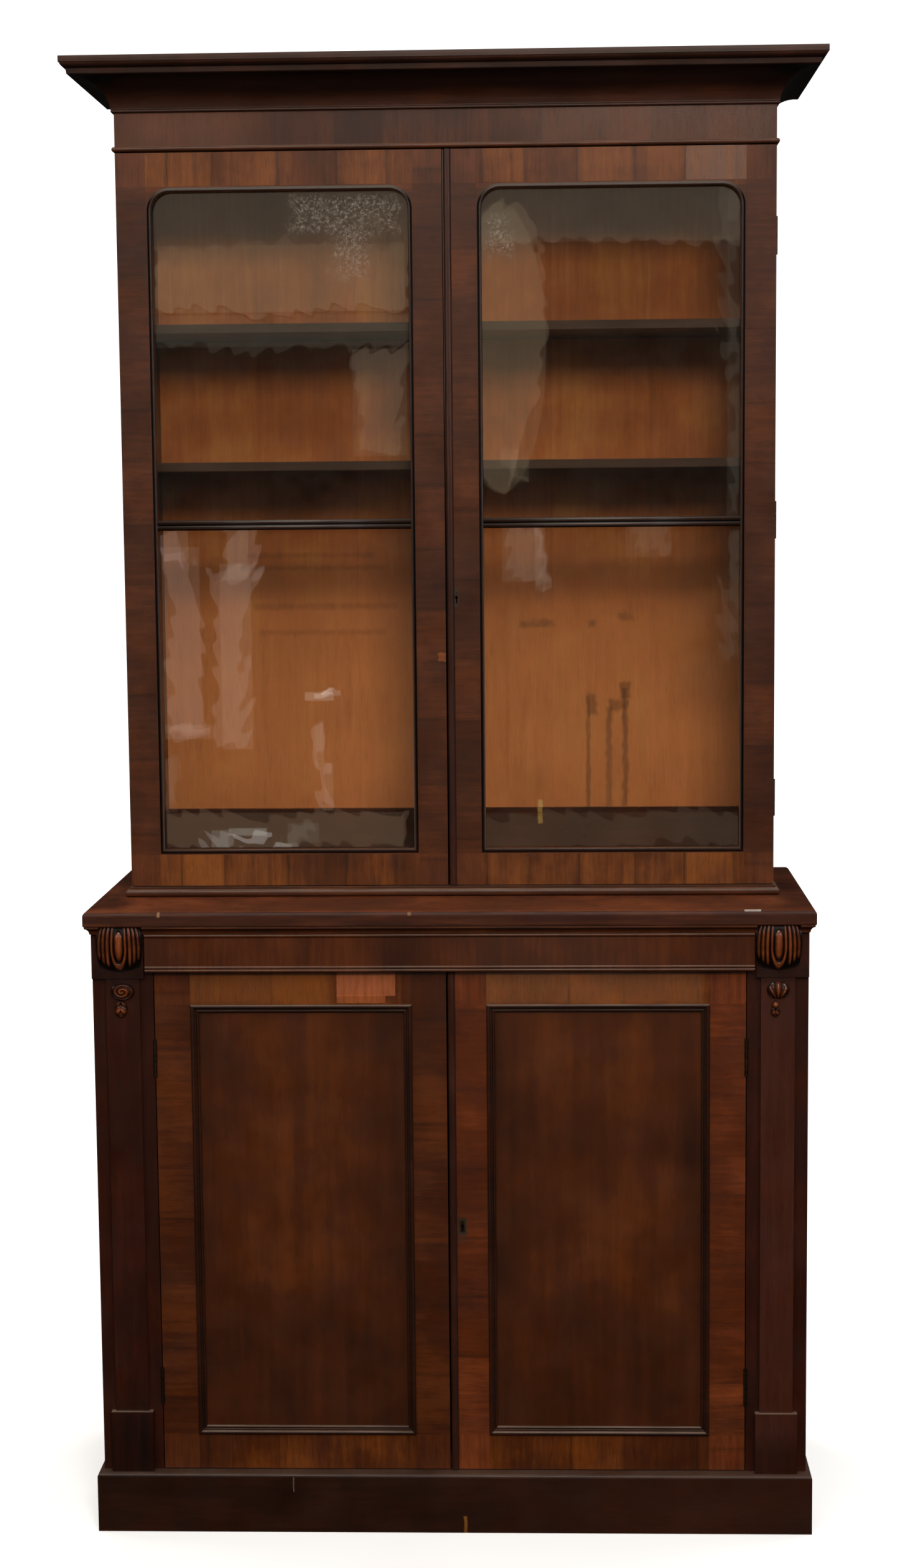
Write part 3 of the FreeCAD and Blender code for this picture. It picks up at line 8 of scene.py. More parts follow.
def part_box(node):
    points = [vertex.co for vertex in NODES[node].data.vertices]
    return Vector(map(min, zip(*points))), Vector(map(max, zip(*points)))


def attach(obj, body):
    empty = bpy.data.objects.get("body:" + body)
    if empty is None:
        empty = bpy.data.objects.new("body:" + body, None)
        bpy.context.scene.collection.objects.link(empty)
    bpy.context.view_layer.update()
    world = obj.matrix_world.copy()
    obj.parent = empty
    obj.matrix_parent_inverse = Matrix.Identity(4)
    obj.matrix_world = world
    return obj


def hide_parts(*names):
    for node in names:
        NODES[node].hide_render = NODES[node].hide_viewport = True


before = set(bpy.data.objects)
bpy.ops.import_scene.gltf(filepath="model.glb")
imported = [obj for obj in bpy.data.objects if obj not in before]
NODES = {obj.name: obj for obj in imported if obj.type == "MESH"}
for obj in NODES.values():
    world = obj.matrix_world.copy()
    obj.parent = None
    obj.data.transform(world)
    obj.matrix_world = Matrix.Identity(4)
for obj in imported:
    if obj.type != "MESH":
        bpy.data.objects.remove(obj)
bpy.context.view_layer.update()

MM = 0.001
FAR = 9  # metres, past every side of the piece: a box that reaches this far is open on that side


# Nodes and colours


def srgb(code):
    """The linear colour of an sRGB hex code."""
    parts = [int(code[i:i + 2], 16) / 255 for i in (0, 2, 4)]
    return [p / 12.92 if p <= 0.04045 else ((p + 0.055) / 1.055) ** 2.4 for p in parts] + [1.0]


def add(tree, kind, inputs=None, stops=None, **settings):
    """Adds one node and gives its outputs. inputs are values or the sockets that feed them, by name or
    number, settings are the node's own properties, and stops are a colour ramp's (position, hex colour or
    grey) pairs."""
    made = tree.nodes.new("ShaderNode" + kind)
    for name, value in settings.items():
        setattr(made, name, value)
    for name, value in (inputs or {}).items():
        if isinstance(value, bpy.types.NodeSocket):
            tree.links.new(value, made.inputs[name])
        else:
            made.inputs[name].default_value = value
    if stops:
        ramp = made.color_ramp
        while len(ramp.elements) < len(stops):
            ramp.elements.new(1.0)
        for element, (position, shade) in zip(ramp.elements, stops):
            element.position = position
            element.color = srgb(shade) if isinstance(shade, str) else (shade, shade, shade, 1.0)
    return made.outputs


def calc(tree, operation, *values):
    """What one sum makes of up to three numbers."""
    return add(tree, "Math", dict(enumerate(values)), operation=operation)[0]


def vector(tree, operation, *values):
    """What one sum makes of up to three vectors."""
    return add(tree, "VectorMath", dict(enumerate(values)), operation=operation)["Vector"]


def noise(tree, place, size, detail, **more):
    """Noise between 0 and 1 whose blotches are about size metres wide."""
    return add(tree, "TexNoise", {"Vector": place, "Scale": 1 / size, "Detail": detail, **more})["Fac"]


def remap(tree, value, low, high, to_low=0.0, to_high=1.0, **more):
    """value carried from the range low to high over to the range to_low to to_high, and held at its ends."""
    return add(tree, "MapRange", {"Value": value, "From Min": low, "From Max": high,
                                  "To Min": to_low, "To Max": to_high}, **more)[0]


def blend(tree, amount, first, second):
    """A colour that goes from first to second as amount goes from 0 to 1. Each is a hex code or a socket."""
    first, second = (srgb(colour) if isinstance(colour, str) else colour for colour in (first, second))
    return add(tree, "Mix", {0: amount, 6: first, 7: second}, data_type="RGBA")[2]


def bump(tree, height, strength, distance, **more):
    """The normal of a surface on which height stands out by up to distance."""
    return add(tree, "Bump", {"Height": height, "Strength": strength, "Distance": distance, **more})["Normal"]


def new_material(name):
    """An empty material and its node tree."""
    material = bpy.data.materials.new(name)
    material.use_nodes = True
    material.node_tree.nodes.clear()
    return material, material.node_tree


def surface(tree, inputs):
    """Ends a material's nodes in one Principled shader."""
    add(tree, "OutputMaterial", {"Surface": add(tree, "BsdfPrincipled", inputs)[0]})


def inside(tree, place, low, high, soft, wobble=0.0):
    """A mask that is 1 within the box from low to high and falls to 0 over soft outside and inside its
    sides. wobble makes the sides ragged by that much."""
    low, high = Vector(low), Vector(high)
    if wobble:
        ragged = add(tree, "TexNoise", {"Vector": place, "Scale": 1 / (14 * MM), "Detail": 3.0})["Color"]
        shift = vector(tree, "SUBTRACT", ragged, (0.5, 0.5, 0.5))
        place = vector(tree, "MULTIPLY_ADD", shift, (2 * wobble,) * 3, place)
    apart = vector(tree, "ABSOLUTE", vector(tree, "SUBTRACT", place, (low + high) / 2))
    past = vector(tree, "SUBTRACT", apart, (high - low) / 2)
    axes = add(tree, "SeparateXYZ", {0: past})
    widest = calc(tree, "MAXIMUM", calc(tree, "MAXIMUM", axes["X"], axes["Y"]), axes["Z"])
    return remap(tree, widest, -soft, soft, 1.0, 0.0, interpolation_type="SMOOTHSTEP")


# Wood

ALONG_X = (0.07, 0.07, 1.0)  # grain along the front and along the returns
ALONG_Z = (1.0, 1.0, 0.07)
ACROSS_X = (0.09, 1.0, 1.0)  # cross-banding on an upright, with its grain from side to side

# Colours of the old polish, from deep shadow to worn and faded
DEEP = ("1a0a05", "2b1308", "3d1c0c")
UPPER = ("2c140b", "45220f", "653418")
UPPER_RAIL = ("2e1708", "562b0f", "82491b")
BASE = ("2c1105", "441d07", "64300f")
BASE_RAIL = ("2e1205", "502408", "80420f")
BASE_WORN = ("3a1708", "5a270c", "85401a")
PILASTER = ("1c0802", "301005", "461b09")
PANEL = ("2f1305", "4a2108", "6a340f")
SHELF = ("2c1a15", "452c23", "5a3e34")
PINE = ("90502b", "c46c3a", "e29450")
RAW_PINE = ("94683c", "b98a55", "d2aa76")
DUSTY = ("76583b", "8c6b48", "a08058")

# Colours of dirt, wear, painted shade under things and in the doors' gap, and painted highlight on tops
JOINT_DIRT = "120a06"
PORE_DIRT = "140a06"
UNDERSIDE_SHADE = "0a0403"
GAP_SHADE = "1c0e08"
OPEN_JOINT = "1c120a"
RUBBED_AND_LIT_POLISH = "8f7766"

TONE_LOW, TONE_SPAN = 0.22, 0.56  # the range of tones over which a timber's colours are spread
# The strips of dirt along a joint: how far each reaches from it towards the low end, or with a minus towards
# the high end, and its share of the darkness
DIRT_STRIPS = ((0.7 * MM, 0.5), (3 * MM, 0.25), (7 * MM, 0.15), (-4 * MM, 0.25))


def laid_pieces(tree, place, moved, bands, joint):
    """Veneer laid in pieces, or boards side by side: how light each piece is, with 0.5 for the middle, and a
    mask of the thin dark line with dirt beside it where two meet, as dark as joint says. bands is (axis, low,
    high, [(start, lightness), ...], drop). The pieces follow one another along the axis, with ragged ends.
    Where drop is given, the pieces right of the X drop[0] sit lower by drop[1]."""
    axis, low, high, pieces, drop = bands
    part = add(tree, "SeparateXYZ", {0: place})[axis]
    if drop:
        second = calc(tree, "GREATER_THAN", add(tree, "SeparateXYZ", {0: place})["X"], drop[0])
        part = calc(tree, "MULTIPLY_ADD", second, drop[1], part)
    part = calc(tree, "MULTIPLY_ADD", noise(tree, moved, 12 * MM, 3.0), 3 * MM, part)
    stops = [(max(0.0, (start - low) / (high - low)), lightness) for start, lightness in pieces]

    def step(aside):
        """The lightness of the piece that lies aside further along the axis."""
        along = remap(tree, part, low - aside, high - aside)
        lightness = add(tree, "ValToRGB", {0: along}, stops=stops)[0]
        lightness.node.color_ramp.interpolation = "CONSTANT"
        return lightness

    here, seam = step(0.0), None
    for reach, share in DIRT_STRIPS:
        change = calc(tree, "ABSOLUTE", calc(tree, "SUBTRACT", here, step(reach)))
        change = remap(tree, change, 0.0, 0.01, 0.0, share * joint)
        seam = calc(tree, "ADD", seam, change) if seam else change
    return here, seam


def patched(tree, place, streaks, colour, low, high, code, soft, wobble, strength):
    """colour with a patch of another over it in the box from low to high, and the streaks showing through."""
    mask = calc(tree, "MULTIPLY", inside(tree, place, low, high, soft, wobble), strength)
    return blend(tree, mask, colour, blend(tree, streaks, code, colour))


def unpolished(tree, clouds, streaks, step, seam, joint):
    """The colour of dry and dusty timber, with dark open joints where it is made of boards."""
    dry = calc(tree, "MULTIPLY_ADD", clouds, 0.15, streaks)
    if step:
        dry = calc(tree, "MULTIPLY_ADD", calc(tree, "SUBTRACT", step, 0.5), 2.5, dry)
    colour = add(tree, "ValToRGB", {0: dry}, stops=list(zip((0.35, 0.57, 0.85), DUSTY)))[0]
    if seam:
        colour = blend(tree, remap(tree, seam, 0.0, 0.5 * joint), colour, OPEN_JOINT)
    return colour


def lit_and_rubbed(tree, moved, colour, worn):
    """colour made pale, by up to worn, where a surface faces up, as rubbed polish and a painted highlight
    from the light above, and painted black as shade where it faces down. Scuffs break up the pale part."""
    facing = add(tree, "SeparateXYZ", {0: add(tree, "TexCoord")["Normal"]})["Z"]
    rubbed = remap(tree, facing, 0.35, 0.9, 0.0, worn)
    scuffs = vector(tree, "MULTIPLY", moved, (0.35, 0.35, 1.0))
    scuffs = remap(tree, noise(tree, scuffs, 35 * MM, 4.0), 0.3, 0.7, 0.35, 1.0)
    colour = blend(tree, calc(tree, "MULTIPLY", rubbed, scuffs), colour, RUBBED_AND_LIT_POLISH)
    return blend(tree, remap(tree, facing, -0.35, -0.9, 0.0, 0.9), colour, UNDERSIDE_SHADE)


def finish_node(node, material):
    """Puts one material on every slot of a CAD node."""
    slots = NODES[node].data.materials
    for i in range(len(slots)):
        slots[i] = material


def wood(node, name, tones, grain, figure, seed, roughness=0.4, coat=0.12, bands=None, joint=0.6, glow=None,
         patches=(), mottle=0.0, pore=0.3, edge=0.8 * MM, ends=None, worn=0.0, contrast=0.4, cloud=0.6,
         bare=None, gap=None):
    """Finishes a CAD node in French-polished or plain timber, under the name of its material.
    tones: hex colours from the darkest streak to the lightest
    grain, figure: how the figure is stretched along the board, and the width of its streaks in metres
    seed: which stretch of the figure it is cut from
    roughness, coat: how dull the timber is, and how much polish lies on it
    bands, joint: as in laid_pieces
    glow: (low, high, width, depth): painted shade: outside the box the colour is darker by depth than within,
    and changes within width of the box's sides
    patches: (low, high, colour, soft, wobble, strength) each, as in patched
    mottle: how strongly spots a finger's breadth wide go from dark to light
    pore: how dark the pores are
    edge: how wide the corners are rounded
    ends: (low, high, lift): below low and above high the veneer of an upright turns and runs as the rails'
        does, and is lighter by lift
    worn: as in handled
    contrast, cloud: how strongly the streaks show, and how strongly the board goes from dark to light over a
        hand's breadth
    bare: how far back the finish goes: behind it the timber is unpolished
    gap: the X where two doors meet: the edges in the gap are painted dark as shade, dull, and mirror nothing"""
    material, tree = new_material(name)
    place = add(tree, "TexCoord")["Object"]
    moved = vector(tree, "ADD", place, (seed * 1.7, seed * 0.9, seed * 1.3))
    if ends:
        upright = inside(tree, place, (-FAR, -FAR, ends[0]), (FAR, FAR, ends[1]), 0.2 * MM)
        grain = add(tree, "Mix", {0: upright, 4: ALONG_Z, 5: grain}, data_type="VECTOR")[1]
    drawn = vector(tree, "MULTIPLY", moved, grain)
    streaks = noise(tree, drawn, figure, 4.0, Roughness=0.6, Distortion=0.4)
    clouds = noise(tree, moved, 0.11, 3.0)
    fibres = noise(tree, drawn, 1.6 * MM, 1.0)
    tone = calc(tree, "MULTIPLY_ADD", streaks, contrast, (1 - contrast - cloud) / 2)
    tone = calc(tree, "MULTIPLY_ADD", clouds, cloud, tone)
    if mottle:
        spots = noise(tree, moved, 24 * MM, 2.0, Distortion=0.6)
        tone = calc(tree, "ADD", tone, calc(tree, "MULTIPLY_ADD", spots, mottle, -mottle / 2))
    step = seam = None
    if bands:
        step, seam = laid_pieces(tree, place, moved, bands, joint)
        tone = calc(tree, "SUBTRACT", calc(tree, "ADD", tone, step), 0.5)
    if glow:
        low, high, width, depth = glow
        middle = inside(tree, place, low, high, width)
        tone = calc(tree, "SUBTRACT", calc(tree, "MULTIPLY_ADD", middle, depth, tone), depth * 0.7)
    if ends:
        lift = ends[2]
        tone = calc(tree, "ADD", calc(tree, "MULTIPLY_ADD", upright, -lift, tone), lift)
    count = len(tones) - 1
    stops = [(TONE_LOW + TONE_SPAN * i / count, code) for i, code in enumerate(tones)]
    colour = add(tree, "ValToRGB", {0: tone}, stops=stops)[0]
    if seam:
        colour = blend(tree, seam, colour, JOINT_DIRT)
    for patch in patches:
        colour = patched(tree, place, streaks, colour, *patch)
    if bare:
        behind = calc(tree, "GREATER_THAN", add(tree, "SeparateXYZ", {0: place})["Y"], bare)
        colour = blend(tree, behind, colour, unpolished(tree, clouds, streaks, step, seam, joint))
    pores = remap(tree, fibres, 0.54, 0.72, 0.0, pore)
    colour = blend(tree, pores, colour, PORE_DIRT)
    if worn:
        colour = lit_and_rubbed(tree, moved, colour, worn)
    rough = remap(tree, noise(tree, moved, 60 * MM, 3.0), 0.3, 0.7, roughness - 0.07, roughness + 0.09)
    rounded = add(tree, "Bevel", {"Radius": edge}, samples=4)["Normal"]
    height = calc(tree, "MULTIPLY_ADD", pores, -0.5, streaks)
    normal = bump(tree, height, 0.5, 0.15 * MM, Normal=rounded)
    polish = {"Coat Weight": coat, "Coat Roughness": 0.14, "IOR": 1.5}
    if gap is not None:
        # The edges in the gap between the doors are painted dark as shade
        shaded_gap = inside(tree, place, (gap - 1.5 * MM, -FAR, -FAR), (gap + 1.5 * MM, FAR, FAR), 0.3 * MM)
        out_of_gap = calc(tree, "SUBTRACT", 1.0, shaded_gap)
        colour = blend(tree, out_of_gap, GAP_SHADE, colour)
        polish["Coat Weight"] = calc(tree, "MULTIPLY", out_of_gap, coat)
        polish["Specular IOR Level"] = calc(tree, "MULTIPLY", out_of_gap, 0.5)
    surface(tree, {"Base Color": colour, "Roughness": rough, "Normal": normal, **polish})
    finish_node(node, material)


def veneer_pieces(low, high, seed, shortest=0.07, longest=0.11, spread=0.16):
    """Where the pieces of a cross-banding start, and how light each is: lengths and tones drawn from a seed.
    The 24 lengths drawn are more than any board needs."""
    draw = np.random.default_rng(seed)
    at = low + np.concatenate([[0.0], np.cumsum(draw.uniform(shortest, longest, 24))])
    at = at[at < high]
    shades = 0.5 + draw.uniform(-spread, spread, len(at))
    return list(zip(at.tolist(), shades.tolist()))


def spot(left, right, foot, top, colour, soft, wobble, strength, behind=FAR):
    """A patch as wood takes it, which reaches back as far as the Y behind."""
    return (left, -FAR, foot), (right, behind, top), colour, soft, wobble, strength


# The cornice's hollow is painted dark as shade, and its top edge pale with dust and a painted sheen
wood("cornice_moulding", "mahogany_polished_cornice", ("1e0d06", "33180c", "4b2513"), ALONG_X, 9 * MM, 1.0,
     roughness=0.38, worn=0.35,
     patches=[spot(-FAR, FAR, 2.298, 2.337, "150a05", 9 * MM, 3 * MM, 0.85),
              spot(-FAR, FAR, 2.3455, 2.352, "4c3a30", 1 * MM, 2 * MM, 0.7)])
# The frieze has one open joint, a faded left end, a right end painted pale grey as the haze of a reflection,
# and a dark middle
wood("cornice_frieze", "mahogany_veneer_frieze", UPPER, ALONG_Z, 7 * MM, 2.0, joint=0.35, contrast=0.3,
     bands=("X", -0.5235, 0.5235, veneer_pieces(-0.5235, 0.5235, 3, spread=0.1), None),
     patches=[spot(-0.43, -0.4285, 2.21, 2.29, "120a06", 0.4 * MM, 1.5 * MM, 0.8, 0),
              spot(-0.53, -0.30, 2.2, 2.35, "7a5340", 50 * MM, 9 * MM, 0.35, 0),
              spot(-0.20, 0.10, 2.2, 2.35, "1c0c06", 90 * MM, 9 * MM, 0.6, 0),
              spot(0.15, 0.53, 2.2, 2.35, "74594c", 80 * MM, 9 * MM, 0.5, 0)])
wood("frieze_bead", "mahogany_polished_frieze_bead", UPPER, ALONG_X, 6 * MM, 3.0, worn=0.6)
wood("waist_moulding", "mahogany_polished_waist_moulding", UPPER, ALONG_X, 6 * MM, 4.0, worn=0.6)
wood("under_top_moulding", "mahogany_polished_under_top_moulding", BASE, ALONG_X, 6 * MM, 5.0, worn=0.7)
wood("upper_sides", "mahogany_polished_upper_sides", UPPER, ALONG_Z, 14 * MM, 6.0, contrast=0.7, cloud=0.25)
wood("upper_top_board", "mahogany_upper_top_board", UPPER, ALONG_X, 12 * MM, 7.0, roughness=0.5)
wood("upper_floor_board", "mahogany_upper_floor_board", UPPER, ALONG_X, 12 * MM, 8.0, roughness=0.5)
# The base's top is dark at its two ends, with three chips along its front edge. Its front edge is painted
# dark as shade, with the patch laid on twice so that it hides nearly all of the wood
EDGE_SHADE = ((-FAR, -0.24, 0.9), (FAR, -0.2265, 1.1), "2c1208", 0.8 * MM, 0.0, 0.95)
wood("base_top_board", "mahogany_polished_base_top", ("3d1e0c", "652f12", "8c4a20"), ALONG_X, 10 * MM, 9.0,
     roughness=0.52, coat=0.0, edge=0.2 * MM,
     patches=[((0.525, -0.2, 0.9), (FAR, FAR, 1.1), "1c0e08", 25 * MM, 12 * MM, 1.0),
              ((-FAR, -0.2, 0.9), (-0.525, FAR, 1.1), "1c0e08", 25 * MM, 12 * MM, 1.0),
              EDGE_SHADE, EDGE_SHADE,
              ((0.465, -0.24, 1.0145), (0.491, -0.223, 1.02), "e6e0d6", 0.6 * MM, 1 * MM, 0.95),
              spot(-0.459, -0.455, 1.008, 1.016, "c9a070", 0.7 * MM, 1.5 * MM, 0.9, 0),
              spot(-0.063, -0.058, 1.010, 1.015, "b58a5a", 0.7 * MM, 1.5 * MM, 0.8, 0)])
wood("base_sides", "mahogany_polished_base_sides", BASE, ALONG_Z, 16 * MM, 10.0, contrast=0.7, cloud=0.25)
wood("base_front_stiles", "mahogany_polished_front_stiles", PILASTER, ALONG_Z, 10 * MM, 11.0)
# The pilasters: the right one has painted light from the right on it, the left one is black at its foot, and
# both have painted shadow under the corbels
wood("pilasters", "mahogany_polished_pilasters", PILASTER, ALONG_Z, 12 * MM, 12.0, worn=0.7,
     patches=[spot(0.4, 0.6, 0.15, 0.9, "5c3022", 30 * MM, 8 * MM, 0.7),
              spot(-FAR, 0, 0.0, 0.2, "080302", 40 * MM, 8 * MM, 0.9),
              spot(-FAR, FAR, 0.900, 0.925, "0a0402", 9 * MM, 3 * MM, 0.85)])
wood("drawer_front", "mahogany_veneer_drawer_front", BASE, ALONG_Z, 8 * MM, 13.0, joint=0.25, worn=0.7,
     bands=("X", -0.482, 0.482, veneer_pieces(-0.482, 0.482, 13, 0.12, 0.2, 0.07), None))
wood("drawer_rail", "mahogany_polished_drawer_rail", DEEP, ALONG_X, 8 * MM, 14.0, worn=0.5)
# The plinth has painted light from the right on its right part, and a scrape and a chip
wood("plinth", "mahogany_polished_plinth", DEEP, ALONG_X, 12 * MM, 15.0, worn=0.25,
     patches=[spot(0.1, 0.6, 0.0, 0.09, "4a2617", 60 * MM, 9 * MM, 0.5),
              spot(-0.2585, -0.2565, 0.068, 0.092, "8a8278", 0.6 * MM, 2 * MM, 0.8, 0),
              spot(0.017, 0.022, 0.0, 0.028, "b0702c", 1 * MM, 2 * MM, 0.8, 0)])

MEETING = -3.5 * MM  # the X where the doors meet
# Marks on the doors' faces reach back to here, so that the backs of the doors stay clean
GLAZED_FRONT, CUPBOARD_FRONT = -0.066, -0.2
# The lowest and the highest X of a door's rails, and the X between its stiles
DOORS = {"left": (-0.5235, -0.0045, -0.264), "right": (-0.0025, 0.5235, 0.2625)}
# Where the pieces of veneer on each glazed door's rails start, and how light each is
GLAZED_PIECES = {
    "left": [(-0.5235, 0.62), (-0.439, 0.70), (-0.369, 0.60), (-0.264, 0.52), (-0.17, 0.60), (-0.09, 0.50)],
    "right": [(-0.0025, 0.50), (0.06, 0.58), (0.128, 0.52), (0.210, 0.64), (0.300, 0.58), (0.381, 0.66),
              (0.46, 0.54)]}
STILE_TONES = {"left": BASE, "right": BASE_WORN}
STILE_DROP = 0.043  # how much lower the veneer's joints are on a door's right stile than on its left one
# Where the grain of the stiles turns and how much lighter it is past there: the ends of each wood
GLAZED_ENDS, SIGHT_ENDS, CUPBOARD_ENDS = (1.086, 2.1565, 0.12), (1.094, 2.1485, 0.12), (0.156, 0.8635, 0.06)
CHIP = spot(-0.0190, -0.0050, 1.4000, 1.4130, "b5652f", 1.2 * MM, 5 * MM, 0.7, GLAZED_FRONT)
for number, (side, (low, high, middle)) in enumerate(DOORS.items()):
    glazed, cupboard = "glazed_door_" + side, "cupboard_door_" + side
    # The right top rail is painted pale grey as the haze of a reflection, most of all at its end
    wood(glazed + "_rails",
         "mahogany_veneer_glazed_rails_" + side, UPPER_RAIL, ALONG_Z, 7 * MM, 20.0 + low, mottle=0.16,
         bands=("X", low, high, GLAZED_PIECES[side], None), joint=0.85, gap=MEETING,
         patches=[spot(0.381, 0.53, 2.15, 2.22, "6a5850", 1 * MM, 2 * MM, 0.9, GLAZED_FRONT),
                  spot(0.18, 0.53, 2.15, 2.22, "5e4438", 60 * MM, 0.0, 0.45, GLAZED_FRONT)])
    pieces = veneer_pieces(1.0, 2.3, 5 + number, 0.08, 0.13, 0.06)
    wood(glazed + "_stiles",
         "mahogany_veneer_glazed_stiles_" + side, UPPER, ACROSS_X, 7 * MM, 22.0 + low, mottle=0.16,
         bands=("Z", 1.0, 2.3, pieces, (middle, STILE_DROP)), ends=GLAZED_ENDS, gap=MEETING, patches=[CHIP])
    wood(glazed + "_glazing_mouldings",
         "mahogany_veneer_sight_edge_" + side, UPPER, ACROSS_X, 7 * MM, 22.0 + low, ends=SIGHT_ENDS)
    # The top rails are faded, and the left one has a repair in two pieces
    pieces = veneer_pieces(low, high, 21 + number, 0.08, 0.14, 0.12)
    wood(cupboard + "_rails",
         "mahogany_veneer_cupboard_rails_" + side, BASE_RAIL, ALONG_Z, 7 * MM, 30.0 + low, mottle=0.16,
         bands=("X", low, high, pieces, None), gap=MEETING,
         patches=[spot(-0.47, -0.19, 0.864, 0.92, "a8642a", 9 * MM, 5 * MM, 0.5, CUPBOARD_FRONT),
                  spot(0.01, 0.40, 0.864, 0.92, "aa6c3c", 8 * MM, 6 * MM, 0.5, CUPBOARD_FRONT),
                  spot(-0.1786, -0.0854, 0.8775, 0.916, "cc744a", 0.8 * MM, 1.2 * MM, 0.85, CUPBOARD_FRONT),
                  spot(-0.1786, -0.102, 0.866, 0.879, "c06a3a", 0.8 * MM, 1.2 * MM, 0.85, CUPBOARD_FRONT)])
    # The right-hand door's outer stile is dark at its foot, and its keyhole plate has a dark patch below it
    pieces = veneer_pieces(0.09, 0.93, 31 + number, 0.08, 0.13, 0.09)
    wood(cupboard + "_stiles",
         "mahogany_veneer_cupboard_stiles_" + side, STILE_TONES[side], ACROSS_X, 7 * MM, 32.0 + low,
         mottle=0.12, bands=("Z", 0.09, 0.93, pieces, (middle, STILE_DROP)), ends=CUPBOARD_ENDS, gap=MEETING,
         patches=[spot(0.41, 0.48, 0.09, 0.21, "3a1a0a", 12 * MM, 4 * MM, 1.0, CUPBOARD_FRONT),
                  spot(0.0115, 0.0245, 0.4745, 0.4885, "3a2e24", 1.5 * MM, 2 * MM, 0.8, CUPBOARD_FRONT)])
    # The panel is painted darker towards its sides and its foot, as shade from its frame
    panel_low, panel_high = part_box(cupboard + "_panel")
    wood(cupboard + "_panel",
         "mahogany_figured_panel_" + side, PANEL, ALONG_Z, 26 * MM, 34.0 + low, mottle=0.10, pore=0.2,
         glow=((panel_low[0] + 0.07, -FAR, panel_low[2] + 0.22),
               (panel_high[0] - 0.07, FAR, panel_high[2] + 0.05), 0.08, 0.18))
    wood(cupboard + "_panel_moulding",
         "mahogany_polished_panel_moulding_" + side, DEEP, ALONG_X, 5 * MM, 36.0 + low, worn=0.8)
for door in ("glazed_door_right", "cupboard_door_right"):
    wood(door + "_meeting_bead",
         "mahogany_polished_" + door + "_bead", ("24100a", "36190e", "4a2616"), ALONG_Z, 6 * MM, 40.0,
         gap=MEETING)


def board_pieces(node, count=6):
    """The bands of a back made of upright boards, every other one a little lighter."""
    low, high = (corner[0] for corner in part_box(node))
    boards = [(low + (high - low) * i / count, 0.5 + 0.03 * (-1) ** i) for i in range(count)]
    return "X", low, high, boards, None


UNSTAINED = 0.2285  # behind this Y, on the back of the piece, pine is dusty, with no stain, polish or marks

# The marks are a painted pool of light on the lower part, two patches of painted shade on the right, four
# faint lines on the left, three dark runs with blots at their heads, three smears above them and a painted
# glint of light, which goes on over the back rail
wood("upper_back_boards",
     "pine_stained_back_boards", PINE, ALONG_Z, 14 * MM, 50.0, roughness=0.62, coat=0.0, pore=0.12,
     joint=0.15, contrast=0.34, mottle=0.12, bare=UNSTAINED, bands=board_pieces("upper_back_boards"),
     patches=[spot(-FAR, FAR, 1.10, 1.49, "ff9c5e", 160 * MM, 0.0, 1.0),
              spot(0.15, 0.53, 1.95, 2.3, "8a4a24", 30 * MM, 6 * MM, 0.6, UNSTAINED),
              spot(0.38, 0.53, 1.30, 1.74, "5c3c20", 45 * MM, 5 * MM, 0.6, UNSTAINED),
              spot(-0.36, -0.14, 1.561, 1.569, "5e3014", 4 * MM, 4 * MM, 0.5),
              spot(-0.37, -0.12, 1.540, 1.547, "5e3014", 4 * MM, 4 * MM, 0.45),
              spot(-0.35, -0.10, 1.472, 1.482, "5e3014", 4 * MM, 4 * MM, 0.5),
              spot(-0.34, -0.12, 1.428, 1.436, "5e3014", 4 * MM, 4 * MM, 0.4),
              spot(0.2250, 0.2320, 1.126, 1.318, "5a3420", 2 * MM, 4 * MM, 0.95),
              spot(0.2275, 0.2435, 1.285, 1.324, "5e341c", 4 * MM, 7 * MM, 0.9),
              spot(0.2600, 0.2700, 1.126, 1.300, "664028", 3 * MM, 5 * MM, 0.95),
              spot(0.2650, 0.2940, 1.294, 1.312, "5e341c", 5 * MM, 9 * MM, 0.8),
              spot(0.2880, 0.2970, 1.126, 1.332, "5a3420", 3 * MM, 5 * MM, 0.95),
              spot(0.2840, 0.3020, 1.315, 1.342, "4a2814", 4 * MM, 7 * MM, 0.9),
              spot(0.1120, 0.1680, 1.438, 1.450, "5e4028", 5 * MM, 10 * MM, 0.8),
              spot(0.2290, 0.2420, 1.437, 1.447, "5e4028", 4 * MM, 9 * MM, 0.8),
              spot(0.2830, 0.3060, 1.448, 1.464, "5e4028", 5 * MM, 10 * MM, 0.8),
              spot(0.1405, 0.1490, 1.120, 1.138, "ffe09a", 1 * MM, 3 * MM, 1.0)])
